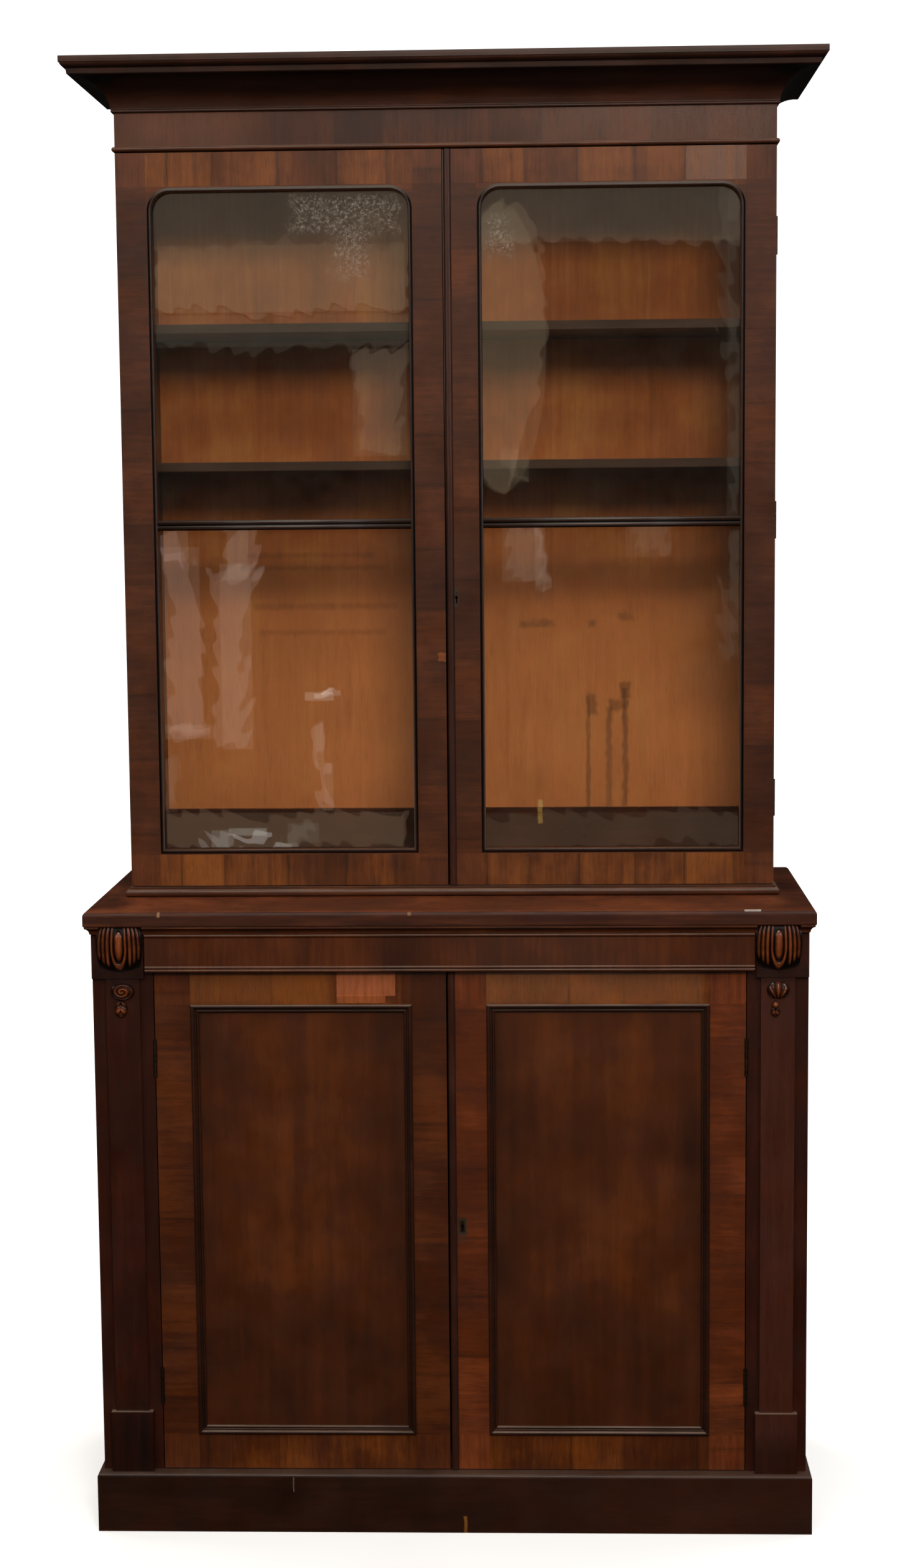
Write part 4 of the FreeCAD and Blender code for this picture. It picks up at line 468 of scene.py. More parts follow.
# The painted glint of light from the back boards goes on over the rail
wood("upper_back_rail",
     "mahogany_polished_back_rail", ("2a1006", "451c09", "5e2c10"), ALONG_X, 10 * MM, 51.0, roughness=0.3,
     patches=[spot(0.1405, 0.1490, 1.098, 1.127, "e0b060", 1 * MM, 3 * MM, 1.0)])
wood("upper_shelves",
     "mahogany_polished_shelves", SHELF, ALONG_X, 9 * MM, 52.0, roughness=0.45, coat=0.1, worn=0.5)
for i, node in enumerate(("base_back_boards", "base_floor_board", "cupboard_shelf", "base_bearers",
                          "glue_blocks", "cornice_back_rail", "drawer_box", "drawer_bottom")):
    upright = node == "base_back_boards"
    wood(node, "pine_raw_" + node, RAW_PINE, ALONG_Z if upright else ALONG_X, 18 * MM, 60.0 + i,
         roughness=0.7, coat=0.0, pore=0.1, bare=UNSTAINED, joint=0.9, contrast=0.6, cloud=0.2,
         bands=board_pieces(node) if upright else None)


# Brass and glass

# Of each keyhole: how far right of the middle it is, half the width of the dull middle of its plate, and the
# colour of the plate's rim
KEYHOLES = {"glazed_door_right": (12.8 * MM, 1.0 * MM, "70665a"),
            "cupboard_door_right": (18 * MM, 3.6 * MM, "8f8270")}


def aged_brass():
    """Cast and filed brass gone brown: metal bright on the rubbed rims of the keyhole plates, dull elsewhere,
    and black with dirt inside the keyholes. The boxes of the plates and the keyholes are larger than these,
    and the rim is what the dull middle leaves of a plate's face."""
    material, tree = new_material("brass_aged")
    place = add(tree, "TexCoord")["Object"]
    film = noise(tree, place, 6 * MM, 4.0)
    colour = add(tree, "ValToRGB", {0: film}, stops=[(0.3, "3a3226"), (0.6, "6e604a"), (0.85, "a0906c")])[0]
    for door, (keyhole, dull, rim) in KEYHOLES.items():
        low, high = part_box(door + "_lock")
        centre = (low[2] + high[2]) / 2
        face = inside(tree, place, (keyhole - 9 * MM, -FAR, centre - 20 * MM),
                      (keyhole + 9 * MM, low[1] + 1.2 * MM, centre + 20 * MM), 0.1 * MM)
        middle = inside(tree, place, (keyhole - dull, -FAR, centre - 9.5 * MM),
                        (keyhole + dull, FAR, centre + 9.5 * MM), 0.8 * MM)
        rubbed = calc(tree, "MAXIMUM", calc(tree, "SUBTRACT", face, middle), 0.0)
        colour = blend(tree, rubbed, colour, rim)
        hole = inside(tree, place, (keyhole - 3.5 * MM, low[1] + 0.7 * MM, centre - 10 * MM),
                      (keyhole + 3.5 * MM, FAR, centre + 4 * MM), 0.1 * MM)
        colour = blend(tree, hole, colour, "030202")
    rough = remap(tree, film, 0.3, 0.7, 0.5, 0.3)
    normal = bump(tree, film, 0.3, 0.1 * MM)
    surface(tree, {"Base Color": colour, "Metallic": 1.0, "Roughness": rough, "Normal": normal})
    return material


BRASS = aged_brass()
for node in NODES:
    if any(word in node for word in ("hinge", "right_lock", "bolt", "pegs")):
        finish_node(node, BRASS)


# Where pale crinkled patches are painted on the panes as broken reflections: lowest x and z, highest x and z
PAINTED_GLINTS = [(-0.245, 2.085, -0.075, 2.145), (-0.175, 2.010, -0.125, 2.085), (0.066, 2.045, 0.105, 2.105)]


def old_glass():
    """Drawn sheet glass: almost clear, mirrors a twentieth of the room and more at a slant, with a faint film
    of dust and pale crinkled patches painted on as broken reflections."""
    material, tree = new_material("glass_old_sheet")
    place = add(tree, "TexCoord")["Object"]
    slant = calc(tree, "POWER", add(tree, "LayerWeight", {"Blend": 0.5})["Facing"], 5.0)
    mirror = calc(tree, "MULTIPLY_ADD", slant, 0.95, 0.05)
    clear = add(tree, "BsdfTransparent", {"Color": srgb("f4f6f1")})[0]
    gloss = add(tree, "BsdfGlossy", {"Color": srgb("ffffff"), "Roughness": 0.01})[0]
    shader = add(tree, "MixShader", {0: mirror, 1: clear, 2: gloss})[0]
    film = remap(tree, noise(tree, place, 50 * MM, 5.0, Roughness=0.65), 0.3, 0.9, 0.002, 0.012)
    glint_pattern = noise(tree, place, 5 * MM, 4.0, Roughness=0.7, Distortion=1.2)
    glint_pattern = remap(tree, glint_pattern, 0.50, 0.72, 0.0, 0.32)
    # Pale crinkled patches painted on as broken reflections
    for low_x, low_z, high_x, high_z in PAINTED_GLINTS:
        patch = inside(tree, place, (low_x, -FAR, low_z), (high_x, FAR, high_z), 16 * MM, 22 * MM)
        film = calc(tree, "MULTIPLY_ADD", patch, glint_pattern, film)
    dust_and_glints = add(tree, "BsdfDiffuse", {"Color": srgb("d8cabc")})[0]
    shader = add(tree, "MixShader", {0: film, 1: shader, 2: dust_and_glints})[0]
    add(tree, "OutputMaterial", {"Surface": shader})
    return material


GLASS = old_glass()


# New surfaces


def outwards(points, faces):
    """The same quads, turned over if the volume they close is negative. The volume is a sixth of the sum of
    the triple products of each triangle's corners."""
    a, b, c, d = (points[faces[:, i]] for i in range(4))
    volume = np.einsum("ij,ij->", a, np.cross(b, c)) + np.einsum("ij,ij->", a, np.cross(c, d))
    return faces if volume > 0 else faces[:, ::-1]


def put_mesh(name, parts, body, material, crest=None):
    """One mesh object from several closed (points, quads), riding on a body. crest is a number for each point
    that the material reads: how high it stands on a carving or a moulding, from 0 to 1."""
    points = np.concatenate([some for some, quads in parts])
    starts = np.cumsum([0] + [len(some) for some, quads in parts])
    faces = np.concatenate([outwards(*part) + start for part, start in zip(parts, starts)])
    mesh = bpy.data.meshes.new(name)
    mesh.from_pydata(points.tolist(), [], faces.tolist())
    mesh.update()
    mesh.shade_smooth()
    mesh.materials.append(material)
    if crest is not None:
        values = mesh.attributes.new("crest", "FLOAT", "POINT")
        values.data.foreach_set("value", np.ascontiguousarray(crest, dtype=np.float32).ravel())
    piece = bpy.data.objects.new(name, mesh)
    bpy.context.scene.collection.objects.link(piece)
    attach(piece, body)
    return piece


def slab(front, back):
    """A closed sheet between two grids of points of the same size: the front grid's quads, the back grid's
    quads turned over, and a strip along each of the four edges."""
    rows, columns = front.shape[:2]
    points = np.concatenate([front.reshape(-1, 3), back.reshape(-1, 3)])
    index = np.arange(rows * columns).reshape(rows, columns)
    quads = np.stack([index[:-1, :-1], index[1:, :-1], index[1:, 1:], index[:-1, 1:]], -1).reshape(-1, 4)
    turned = quads[:, ::-1] + rows * columns
    rim = np.concatenate([index[0, :-1], index[:-1, -1], index[-1, :0:-1], index[:0:-1, 0]])
    rim_behind = rim + rows * columns
    ahead, ahead_behind = np.roll(rim, -1), np.roll(rim_behind, -1)
    sides = np.stack([rim, ahead, ahead_behind, rim_behind], -1)
    return points, np.concatenate([quads, turned, sides])


def swept(path, inward, profile):
    """A closed bead along a closed path in the plane of the door. path is the points, inward the way towards
    the glass at each, and profile the (in, out) points of the section: each point of the section moves by its
    first number along inward and by its second towards the viewer."""
    ring = path[:, None, :] + inward[:, None, :] * profile[None, :, 0:1]
    ring = ring + np.array([0.0, -1.0, 0.0]) * profile[None, :, 1:2]
    count, around = ring.shape[:2]
    index = np.arange(count * around).reshape(count, around)
    ahead = np.roll(index, -1, axis=0)
    faces = np.stack([index, ahead, np.roll(ahead, -1, axis=1), np.roll(index, -1, axis=1)], -1)
    return ring.reshape(-1, 3), faces.reshape(-1, 4)


def relief_wood(name, size, blotchy, stops, relief, polish, rubbed=False):
    """Mahogany whose colour follows the crest of the shape, by stops from its hollows to its ribs. Blotches
    about size wide shift it by up to half of blotchy either way, and stand out by up to relief. polish is how
    it shines, and rubbed turns the sides that face up grey, as rubbing and a painted highlight."""
    material, tree = new_material(name)
    place = add(tree, "TexCoord")["Object"]
    height = add(tree, "Attribute", attribute_name="crest")["Fac"]
    blotch = noise(tree, place, size, 4.0)
    tone = calc(tree, "ADD", calc(tree, "MULTIPLY_ADD", blotch, blotchy, -blotchy / 2), height)
    colour = add(tree, "ValToRGB", {0: tone}, stops=stops)[0]
    if rubbed:
        facing = add(tree, "SeparateXYZ", {0: add(tree, "TexCoord")["Normal"]})["Z"]
        colour = blend(tree, remap(tree, facing, 0.25, 0.85, 0.0, 0.6), colour, "8c8076")
    surface(tree, {"Base Color": colour, "Normal": bump(tree, blotch, 0.3, relief), **polish})
    return material


# Carving with the polish rubbed off the high ribs: dark red-brown ground, orange worn crests
CARVED = relief_wood("mahogany_carved_worn", 14 * MM, 0.7,
                     [(0.0, "080302"), (0.35, "1e0a05"), (0.7, "52260f"), (1.0, "83421e")], 0.3 * MM,
                     {"Roughness": 0.28, "Coat Weight": 0.8, "Coat Roughness": 0.12})
# Nearly black with old polish, and grey where the upper sides face up and on the crests, as rubbing and a
# painted highlight
MOULDING = relief_wood("mahogany_moulding_worn_and_lit", 25 * MM, 0.5,
                       [(0.0, "050202"), (0.3, "0a0504"), (0.65, "170c08"), (1.0, "2e1c15")], 0.2 * MM,
                       {"Roughness": 0.36, "Coat Weight": 0.2, "Coat Roughness": 0.2}, rubbed=True)

CORBEL_TOP = 992 * MM
CORBEL_FOOT = 919 * MM
CORBEL_BACK = -214.5 * MM
CORBEL_HALF = 34 * MM
CORBEL_MIDDLES = (-522.2 * MM, 519.2 * MM)
# Parts of the carving, across in halves of the corbel's width and down in parts of its height
DROP_HALF, DROP_TOP, DROP_FOOT = 0.20, 0.24, 0.48
DROP_ENDS = (0.16, 0.30)  # how far the drop runs on past its top and its foot, rounding off
LOOP_FOOT = 0.27  # how far below the foot of the drop the loops round it run, for each half width of the drop
# In half widths of the drop: the middle and the half width of the rib, and where the leaves begin
RIB_MIDDLE, RIB_HALF, LEAVES_FROM = 1.55, 0.36, 1.75
# The leaves of one side: middle, half width, foot and how high each stands
LEAVES = ((0.51, 0.095, 0.93, 0.84), (0.71, 0.090, 0.89, 0.76), (0.90, 0.085, 0.82, 0.66))
LEAF_TIP = 0.14  # how far above its foot a leaf starts to round off
SWELL = 0.32  # where the corbel stands farthest forward


def acanthus_corbel(middle):
    """An acanthus corbel. Across s from -1 to 1 and down t from 0 to 1 the face is the corbel's sweep, which
    stands 11 mm proud under the top, swells to 15 mm a third of the way down and then curves back to 3 mm,
    less a carving depth. Its outline swells an eighth wider half way down, and its foot is lowest in the
    middle. The carving is a long drop inside a U-shaped rib, and three leaves on each side that end one after
    another, the outermost first. Each is a half ellipse in section, with a deep valley between."""
    s, t = np.meshgrid(np.linspace(-1, 1, 181), np.linspace(0, 1, 151), indexing="ij")
    wide = np.abs(s)
    q = wide * (1.08 - 0.08 * t)
    above = np.where(t < DROP_TOP, (DROP_TOP - t) / DROP_ENDS[0], 0.0)
    past = np.where(t > DROP_FOOT, (t - DROP_FOOT) / DROP_ENDS[1], above)
    drop = np.hypot(q / DROP_HALF, past)
    loop = np.hypot(q / DROP_HALF, np.maximum(t - DROP_FOOT, 0.0) / LOOP_FOOT)
    seed = np.sqrt(np.clip(1 - drop ** 2, 0, 1))
    rim = 0.86 * np.sqrt(np.clip(1 - ((loop - RIB_MIDDLE) / RIB_HALF) ** 2, 0, 1))
    leaves = np.zeros_like(s)
    for centre, half, foot, rise in LEAVES:
        end = np.where(t > foot - LEAF_TIP, (t - foot + LEAF_TIP) / LEAF_TIP, 0.0)
        leaf = rise * np.sqrt(np.clip(1 - ((q - centre) / half) ** 2 - end ** 2, 0, 1))
        leaves = np.maximum(leaves, leaf)
    leaves = np.where(loop > LEAVES_FROM, leaves, 0.0)
    crest = np.maximum(np.maximum(seed, rim), leaves)
    z = CORBEL_TOP - (CORBEL_TOP - CORBEL_FOOT) * t * (1 - 0.10 * wide ** 2)
    neck = 4.0 * np.clip(1 - t / SWELL, 0, 1) ** 2
    fall = np.clip((t - SWELL) / (1 - SWELL), 0, 1)
    tuck = 12.0 * (1 - np.sqrt(1 - 0.92 * fall ** 2)) / (1 - math.sqrt(0.08))
    toe = 1.8 * np.sin(np.pi * np.clip((t - 0.6) / 0.4, 0, 1)) * crest
    depth = 15.0 - neck - tuck - 4.6 * (1 - crest) - 2.5 * wide ** 5 + toe
    depth = np.maximum(depth, 0.6) * MM
    x = middle + s * CORBEL_HALF * (0.96 + 0.12 * np.sin(np.pi * t ** 0.8))
    front = np.stack([x, CORBEL_BACK - depth, z], -1)
    back = np.stack([x, np.full_like(x, CORBEL_BACK), z], -1)
    points, faces = slab(front, back)
    return points, faces, np.concatenate([crest.ravel(), np.zeros(crest.size)])


def disc_grid(count):
    """A square grid of points spread over a round disc: a = u sqrt(1 - v v / 2), b = v sqrt(1 - u u / 2)."""
    u, v = np.meshgrid(np.linspace(-1, 1, count), np.linspace(-1, 1, count), indexing="ij")
    return u * np.sqrt(1 - v * v / 2), v * np.sqrt(1 - u * u / 2)


STRIP_FACE = -213.5 * MM  # the Y of the pilasters' faces, on which the lumps lie


def carved_lump(middle_x, middle_z, half_x, half_z, rise, shape):
    """A carved lump on flat ground: on a disc stretched to half_x by half_z it rises by rise times shape."""
    a, b = disc_grid(61)
    height = rise * shape(a, b)
    face = np.stack([middle_x + a * half_x, STRIP_FACE - 0.1 * MM - height, middle_z + b * half_z], -1)
    ground = np.stack([face[..., 0], np.full_like(a, STRIP_FACE), face[..., 2]], -1)
    points, faces = slab(face, ground)
    crest = np.concatenate([(height / rise).ravel(), np.zeros(a.size)])
    return points, faces, crest


def scroll(a, b):
    """A cupped scroll: a dome with a ridge that winds inwards as the angle goes round."""
    far = np.clip(np.hypot(a, b), 0, 1)
    turn = np.arctan2(b, a) / (2 * math.pi)
    ridge = 0.5 + 0.5 * np.cos(2 * math.pi * (2.4 * far + turn))
    return np.sqrt(1 - far ** 2) * (0.55 + 0.45 * ridge)


def ribbed_cup(a, b):
    """A shallow cup with three ribs that fan out from its foot."""
    far = np.clip(np.hypot(a, b), 0, 1)
    fan = np.arctan2(a, b + 1.3)
    return np.sqrt(1 - far ** 2) * (0.72 + 0.28 * np.cos(fan * 14))


def curled_leaf(a, b):
    """A leaf with a groove down its middle that stops short of its foot, and folds that run to its sides."""
    far = np.clip(np.hypot(a, b), 0, 1)
    groove = 0.4 * np.exp(-(a / 0.16) ** 2) * (b > -0.4)
    folds = 0.25 * np.cos(6 * b + 3 * np.abs(a))
    return np.sqrt(1 - far ** 2) * np.clip(0.8 - groove + folds, 0.1, 1)


def ball(a, b):
    """A round bead."""
    return np.sqrt(np.clip(1 - a ** 2 - b ** 2, 0, 1))


corbels = [acanthus_corbel(middle) for middle in CORBEL_MIDDLES]
piece = put_mesh("carved_acanthus_corbels", [corbel[:2] for corbel in corbels], "case", CARVED,
                 np.concatenate([corbel[2] for corbel in corbels]))
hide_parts("corbels")

# A scroll over a leaf on the left, and a cup over a ball and a leaf on the right
lumps = [carved_lump(-0.5192, 0.8870, 0.0190, 0.0145, 11 * MM, scroll),
         carved_lump(-0.5222, 0.8580, 0.0105, 0.0140, 9 * MM, curled_leaf),
         carved_lump(0.5192, 0.8870, 0.0180, 0.0145, 11 * MM, ribbed_cup),
         carved_lump(0.5150, 0.8640, 0.0060, 0.0062, 9 * MM, ball),
         carved_lump(0.5150, 0.8520, 0.0075, 0.0085, 7 * MM, curled_leaf)]
piece = put_mesh("carved_scroll_drops", [lump[:2] for lump in lumps], "case", CARVED,
                 np.concatenate([lump[2] for lump in lumps]))
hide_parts("carved_drops")


PANE_GAP = (1619 * MM, 1623 * MM)  # between the two panes of a door, behind the glazing bar


def wavy_pane(low, high, foot, top, turn):
    """One sheet between two corners of the door's glass, from foot to top. Long waves and a fine ripple move
    its front by up to 0.3 mm, and turn makes the waves of each sheet different."""
    u, v = np.meshgrid(np.linspace(low[0], high[0], 121), np.linspace(foot, top, 151), indexing="ij")
    upright = np.sin(u * 31 + 1.9 * np.sin(v * 8 + turn) + turn)
    level = 0.5 * np.sin(v * 27 + 1.7 * np.sin(u * 13 + 2 * turn))
    ripple = np.sin(u * 140 + 3 * np.sin(v * 22)) * np.sin(v * 95 + 2 * np.sin(u * 30)) * 0.22
    wave = 0.09 * MM * (1.7 + (upright + level) + ripple)
    return slab(np.stack([u, low[1] + wave, v], -1), np.stack([u, np.full_like(u, high[1]), v], -1))


for side in ("left", "right"):
    node = "glazed_door_" + side + "_panes"
    low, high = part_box(node)
    panes = [wavy_pane(low, high, low[2], PANE_GAP[0], 0), wavy_pane(low, high, PANE_GAP[1], high[2], 1)]
    piece = put_mesh("old_glass_panes_" + side, panes, "glazed_door_" + side, GLASS)
    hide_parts(node)


DOOR_FACE = -73 * MM
# The edges of the glass as it shows, with the radius of its rounded top corners
SIGHT = {"left": (-468 * MM, -59 * MM), "right": (57 * MM, 468 * MM)}
SIGHT_FOOT, SIGHT_TOP, SIGHT_ROUND = 1094 * MM, 2148.5 * MM, 30 * MM


def sight_path(low, high):
    """The edge of the glass as it shows: a rectangle whose top corners are quarter circles. Gives its points
    and the way towards the glass at each, which at the square corners is the diagonal that keeps a mitre."""
    turn = np.linspace(0, math.pi / 2, 13)
    left = np.stack([low + SIGHT_ROUND * (1 - np.cos(turn)),
                     SIGHT_TOP - SIGHT_ROUND * (1 - np.sin(turn))], -1)
    left_in = np.stack([np.cos(turn), -np.sin(turn)], -1)
    right = np.stack([low + high - left[::-1, 0], left[::-1, 1]], -1)
    right_in = np.stack([-left_in[::-1, 0], left_in[::-1, 1]], -1)
    corner = np.array([[high, SIGHT_FOOT], [low, SIGHT_FOOT]])
    flat = np.concatenate([left, right, corner])
    inward = np.concatenate([left_in, right_in, [[-1.0, 1.0], [1.0, 1.0]]])
    path = np.stack([flat[:, 0], np.full(len(flat), DOOR_FACE), flat[:, 1]], -1)
    return path, np.stack([inward[:, 0], np.zeros(len(flat)), inward[:, 1]], -1)


# The section of the bead: (towards the glass, towards the viewer) in mm, with how pale each point is, from
# rubbing and a painted highlight on its round
BEAD = np.array([(0.0, -1.5), (0.0, 0.5), (-0.5, 1.2), (-1.4, 1.7), (-2.4, 1.8), (-3.4, 1.4), (-4.1, 0.6),
                 (-4.3, 0.12), (-6.4, 0.12), (-6.6, -1.5)])
BEAD_PALENESS = np.array([0.2, 0.6, 0.9, 1.0, 1.0, 0.8, 0.3, 0.0, 0.0, 0.0])
BAR_MIDDLE, BAR_HALF = 1621 * MM, 8 * MM  # of the glazing bar, which carries two reeds side by side
for side, (low, high) in SIGHT.items():
    path, inward = sight_path(low, high)
    bead = swept(path, inward, BEAD * MM)
    x, across = np.meshgrid(np.linspace(low, high, 3), np.linspace(-1, 1, 41), indexing="ij")
    reeds = np.sqrt(np.clip(1 - ((np.abs(across) - 0.50) / 0.36) ** 2, 0, 1))
    face = DOOR_FACE - (0.2 + 1.8 * reeds) * MM
    z = BAR_MIDDLE + across * BAR_HALF
    bar = slab(np.stack([x, face, z], -1), np.stack([x, np.full_like(x, DOOR_FACE + 1 * MM), z], -1))
    # The crests of the bead and the reeds are paler: rubbing and a painted highlight
    rubbed = np.concatenate([np.tile(BEAD_PALENESS, len(path)), reeds.ravel(), np.zeros(reeds.size)])
    put_mesh("sight_bead_and_bar_" + side, [bead, bar], "glazed_door_" + side, MOULDING,
             rubbed)


# A black strip stands in for the shade in most of the gap between the glazed doors, just behind their faces
SHADE_STRIP_X = (MEETING - 0.3 * MM, MEETING + 1.0 * MM)
SHADE_STRIP_Z = (1036 * MM, 2208 * MM)
x, z = np.meshgrid(SHADE_STRIP_X, SHADE_STRIP_Z, indexing="ij")
shade_strip = slab(np.stack([x, np.full_like(x, DOOR_FACE + 1.0 * MM), z], -1),
              np.stack([x, np.full_like(x, DOOR_FACE + 3.0 * MM), z], -1))
put_mesh("meeting_gap_shade_strip", [shade_strip], "glazed_door_right", MOULDING)


# Floor, light and camera


def floor_material():
    """A matt painted floor, nearly white, whose paint glows faintly near the piece and more farther off, so
    that it fades into the white room.
    """
    material, tree = new_material("studio_floor_matt_paint")
    place = add(tree, "TexCoord")["Object"]
    grain = add(tree, "TexNoise", {"Vector": place, "Scale": 3.0, "Detail": 2.0})["Fac"]
    colour = add(tree, "ValToRGB", {0: grain}, stops=[(0.3, "f1f0ee"), (0.7, "f6f5f3")])[0]
    far = add(tree, "VectorMath", {0: place}, operation="LENGTH")["Value"]
    glow = remap(tree, far, 1.0, 4.5, 0.36, 0.9, interpolation_type="SMOOTHSTEP")
    surface(tree, {"Base Color": colour, "Roughness": 0.9, "Emission Color": srgb("ffffff"),
                   "Emission Strength": glow})
    return material


FLOOR_HALF = 14  # metres
corners = [(x * FLOOR_HALF, y * FLOOR_HALF, 0) for x, y in ((-1, -1), (1, -1), (1, 1), (-1, 1))]
floor_mesh = bpy.data.meshes.new("studio_floor")
floor_mesh.from_pydata(corners, [], [(0, 1, 2, 3)])
floor_mesh.materials.append(floor_material())
floor = bpy.data.objects.new("studio_floor", floor_mesh)
bpy.context.scene.collection.objects.link(floor)
floor.visible_glossy = False
floor.visible_diffuse = False


def softbox(name, place, aim, width, height, brightness, colour, mirrored=True, outline="RECTANGLE"):
    """A studio lamp at place, turned towards aim. Its power is brightness times pi times its area. mirrored
    says whether polish and glass mirror it."""
    lamp = bpy.data.lights.new(name, "AREA")
    lamp.shape = outline
    lamp.size, lamp.size_y = width, height
    lamp.energy = brightness * math.pi * width * height
    lamp.color = srgb(colour)[:3]
    holder = bpy.data.objects.new(name, lamp)
    holder.location = place
    holder.rotation_euler = (Vector(aim) - Vector(place)).to_track_quat("-Z", "Y").to_euler()
    holder.visible_camera = False
    holder.visible_glossy = mirrored
    bpy.context.scene.collection.objects.link(holder)


# In front of the piece
softbox("front_softbox", (0.9, -4.4, 3.15), (0, 0, 1.3), 1.2, 0.9, 25.0, "fff6ea", mirrored=False)
softbox("high_window", (0.3, -4.4, 3.15), (0, -0.2, 1.5), 1.5, 0.45, 2.8, "fff4e8")
softbox("high_softbox", (-0.2, -2.6, 4.1), (0, -0.1, 1.3), 2.8, 1.2, 4.0, "fff8ef")
softbox("left_softbox", (-3.0, -3.6, 2.6), (0, -0.1, 1.3), 1.3, 1.5, 2.5, "fff8ef")
softbox("right_softbox", (3.2, -3.6, 2.6), (0, -0.1, 1.3), 1.3, 1.5, 3.5, "f6f8ff")

# Behind and beside it, for views from there
softbox("back_left_softbox", (-2.6, 4.0, 2.6), (0, 0.2, 1.2), 1.6, 1.6, 6.0, "fff8ef", mirrored=False)
softbox("back_right_softbox", (3.0, 3.4, 2.2), (0, 0.2, 1.2), 1.6, 1.6, 4.5, "f6f8ff", mirrored=False)
softbox("left_side_softbox", (-4.2, 1.6, 3.8), (0, 0.1, 1.0), 1.2, 1.8, 5.0, "fff8ef", mirrored=False)
softbox("right_side_softbox", (4.2, 1.6, 3.8), (0, 0.1, 1.0), 1.2, 1.8, 5.0, "f6f8ff", mirrored=False)

# Near the floor, under the viewer
softbox("low_strip_light", (0.16, -4.4, 0.20), (0, -0.2, 0.95), 0.6, 0.10, 5.0, "ffdfc4")

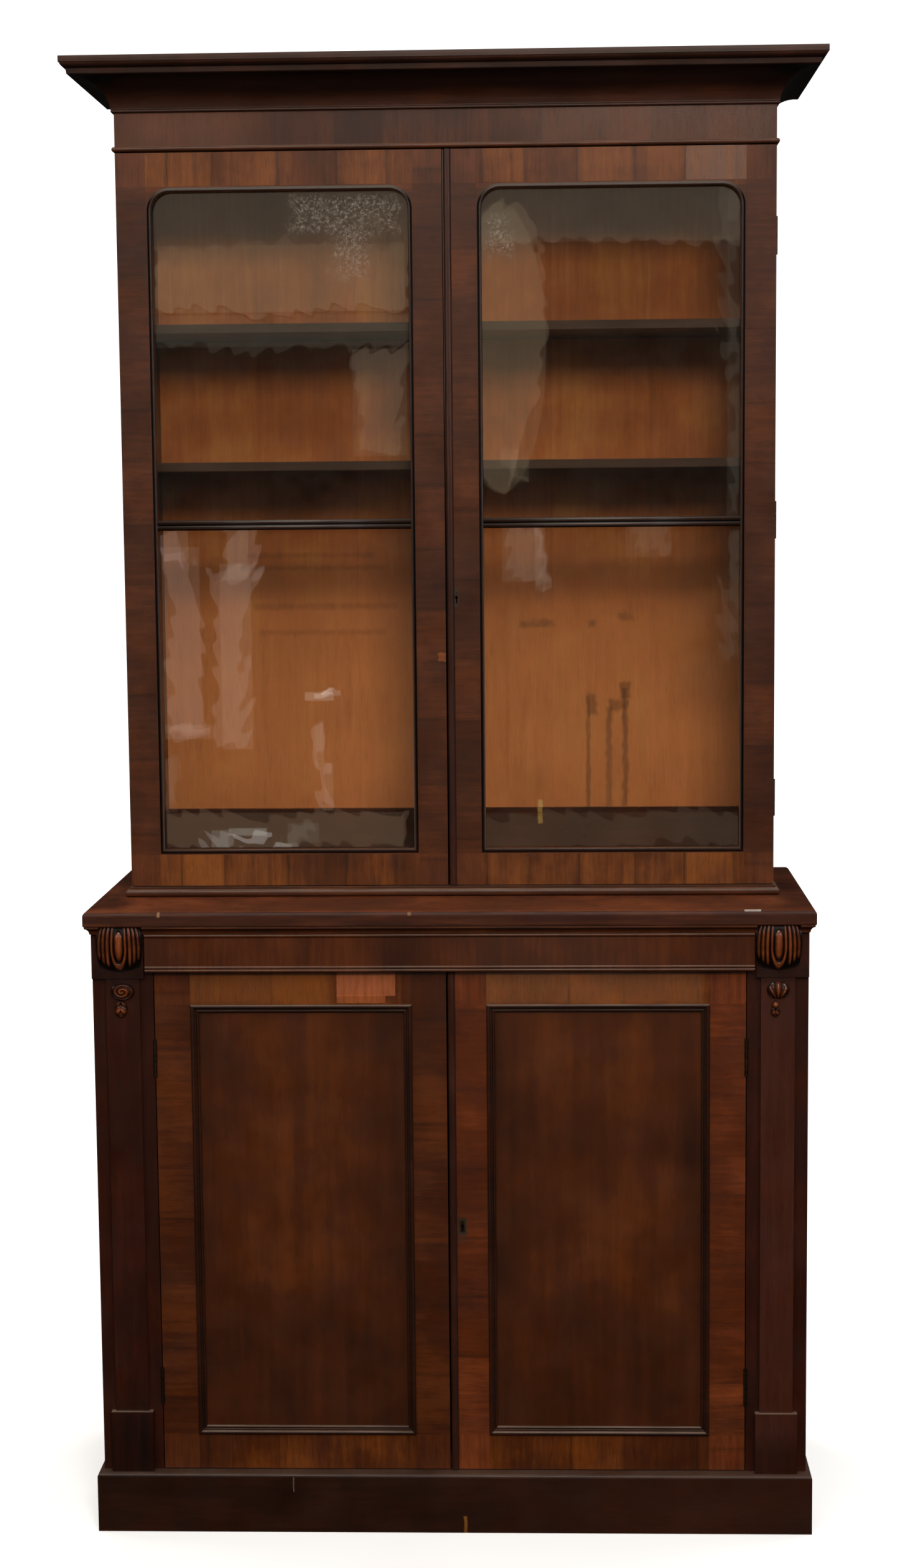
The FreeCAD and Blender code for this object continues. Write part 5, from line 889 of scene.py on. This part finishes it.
# Curtained windows and pale walls behind the viewer, which show as broken streaks in the wavy panes: the X
# and Z of each one's middle, its width and height, its brightness and its colour
BEHIND = -5.0
CURTAIN = 8  # the number of the one with a round outline
for i, (x, z, width, height, brightness, colour) in enumerate([
        (-0.197, 2.790, 2.30, 0.50, 0.50, "f4dcc0"), (-0.785, 2.425, 0.90, 0.23, 0.80, "f6deba"),
        (0.378, 0.470, 0.98, 0.125, 0.34, "ecc8a8"), (-0.807, 0.476, 0.90, 0.125, 0.58, "ffd2ac"),
        (-0.783, 2.243, 0.91, 0.11, 0.42, "c8c4b0"), (-1.140, 1.160, 0.135, 0.66, 0.72, "ffe2d4"),
        (-0.945, 1.100, 0.110, 0.66, 0.78, "ffe2d4"), (-0.423, 1.989, 0.190, 0.37, 0.55, "f0dcc0"),
        (0.000, 2.170, 0.320, 1.00, 0.50, "f2d6b0"), (0.808, 2.151, 0.040, 1.14, 0.35, "d8ccb8"),
        (0.071, 1.456, 0.140, 0.19, 0.55, "e8dccb"), (0.513, 1.501, 0.160, 0.115, 0.40, "f2dcc4"),
        (0.816, 1.317, 0.040, 0.44, 0.35, "d8ccb8"), (-0.925, 1.468, 0.075, 0.184, 0.70, "ffe6dc"),
        (-1.187, 0.652, 0.060, 0.193, 0.35, "ffe2d4"), (-1.139, 1.503, 0.085, 0.118, 0.70, "ffe6dc"),
        (-1.115, 0.843, 0.190, 0.050, 0.70, "ffe6dc"), (0.135, 1.439, 0.035, 0.22, 0.60, "e8dccb"),
        (-0.705, 0.485, 0.110, 0.070, 0.60, "d8d2c6"), (-0.612, 0.650, 0.032, 0.170, 0.80, "ffece0"),
        (0.068, 1.751, 0.060, 0.087, 0.45, "f2d6b0"), (-0.640, 0.800, 0.030, 0.150, 0.80, "ffece0"),
        (-0.995, 0.467, 0.060, 0.068, 1.20, "f4efe8"), (-0.896, 0.496, 0.135, 0.026, 2.20, "fffaf4"),
        (-0.636, 0.972, 0.100, 0.030, 2.00, "fff4ea"), (-0.756, 0.445, 0.080, 0.027, 1.60, "f4efe8"),
        (-0.590, 0.985, 0.060, 0.018, 1.60, "fff4ea")]):
    outline = "ELLIPSE" if i == CURTAIN else "RECTANGLE"
    softbox("mirrored_wall_%d" % i, (x, BEHIND + 0.01 * i, z), (x, 0, z), width, height, brightness, colour,
            outline=outline)

# The room: a soft sky lights the piece, dim walls show in the polish, and the background is white
world = bpy.data.worlds.new("studio_room")
world.use_nodes = True
world.node_tree.nodes.clear()
room = world.node_tree
ray = add(room, "LightPath")
height = add(room, "SeparateXYZ", {0: add(room, "TexCoord")["Generated"]})["Z"]
sky = add(room, "ValToRGB", {0: height},
          stops=[(0.0, "2a2826"), (0.02, "8a8682"), (0.5, "e6e4e2"), (1.0, "ffffff")])[0]
soft = add(room, "Background", {"Color": sky, "Strength": 0.6})[0]
dim = add(room, "Background", {"Color": srgb("3a3632"), "Strength": 0.3})[0]
white = add(room, "Background", {"Color": srgb("ffffff"), "Strength": 1.3})[0]
lit = add(room, "MixShader", {0: ray["Is Glossy Ray"], 1: soft, 2: dim})[0]
shown = add(room, "MixShader", {0: ray["Is Camera Ray"], 1: lit, 2: white})[0]
add(room, "OutputWorld", {"Surface": shown})
bpy.context.scene.world = world
bpy.context.scene.view_settings.view_transform = "Standard"

# The camera: how it is turned, where it stands and its lens in millimetres
YAW, PITCH, ROLL = 0.034965, -0.113351, -0.0091
STAND = (0.15846, -4.17738, 1.66748)
LENS, SENSOR = 58.448, 36.0
ahead = Vector((-math.sin(YAW) * math.cos(PITCH), math.cos(YAW) * math.cos(PITCH), math.sin(PITCH)))
across = Vector((math.cos(YAW), math.sin(YAW), 0.0))
upward = across.cross(ahead)
right = across * math.cos(ROLL) + upward * math.sin(ROLL)
top = upward * math.cos(ROLL) - across * math.sin(ROLL)
view = bpy.data.cameras.new("photographers_view")
view.sensor_width = SENSOR
view.lens = LENS
view.clip_start, view.clip_end = 0.1, 60.0
camera = bpy.data.objects.new("photographers_view", view)
camera.matrix_world = Matrix((right, top, -ahead)).transposed().to_4x4()
camera.location = STAND
bpy.context.scene.collection.objects.link(camera)
bpy.context.scene.camera = camera
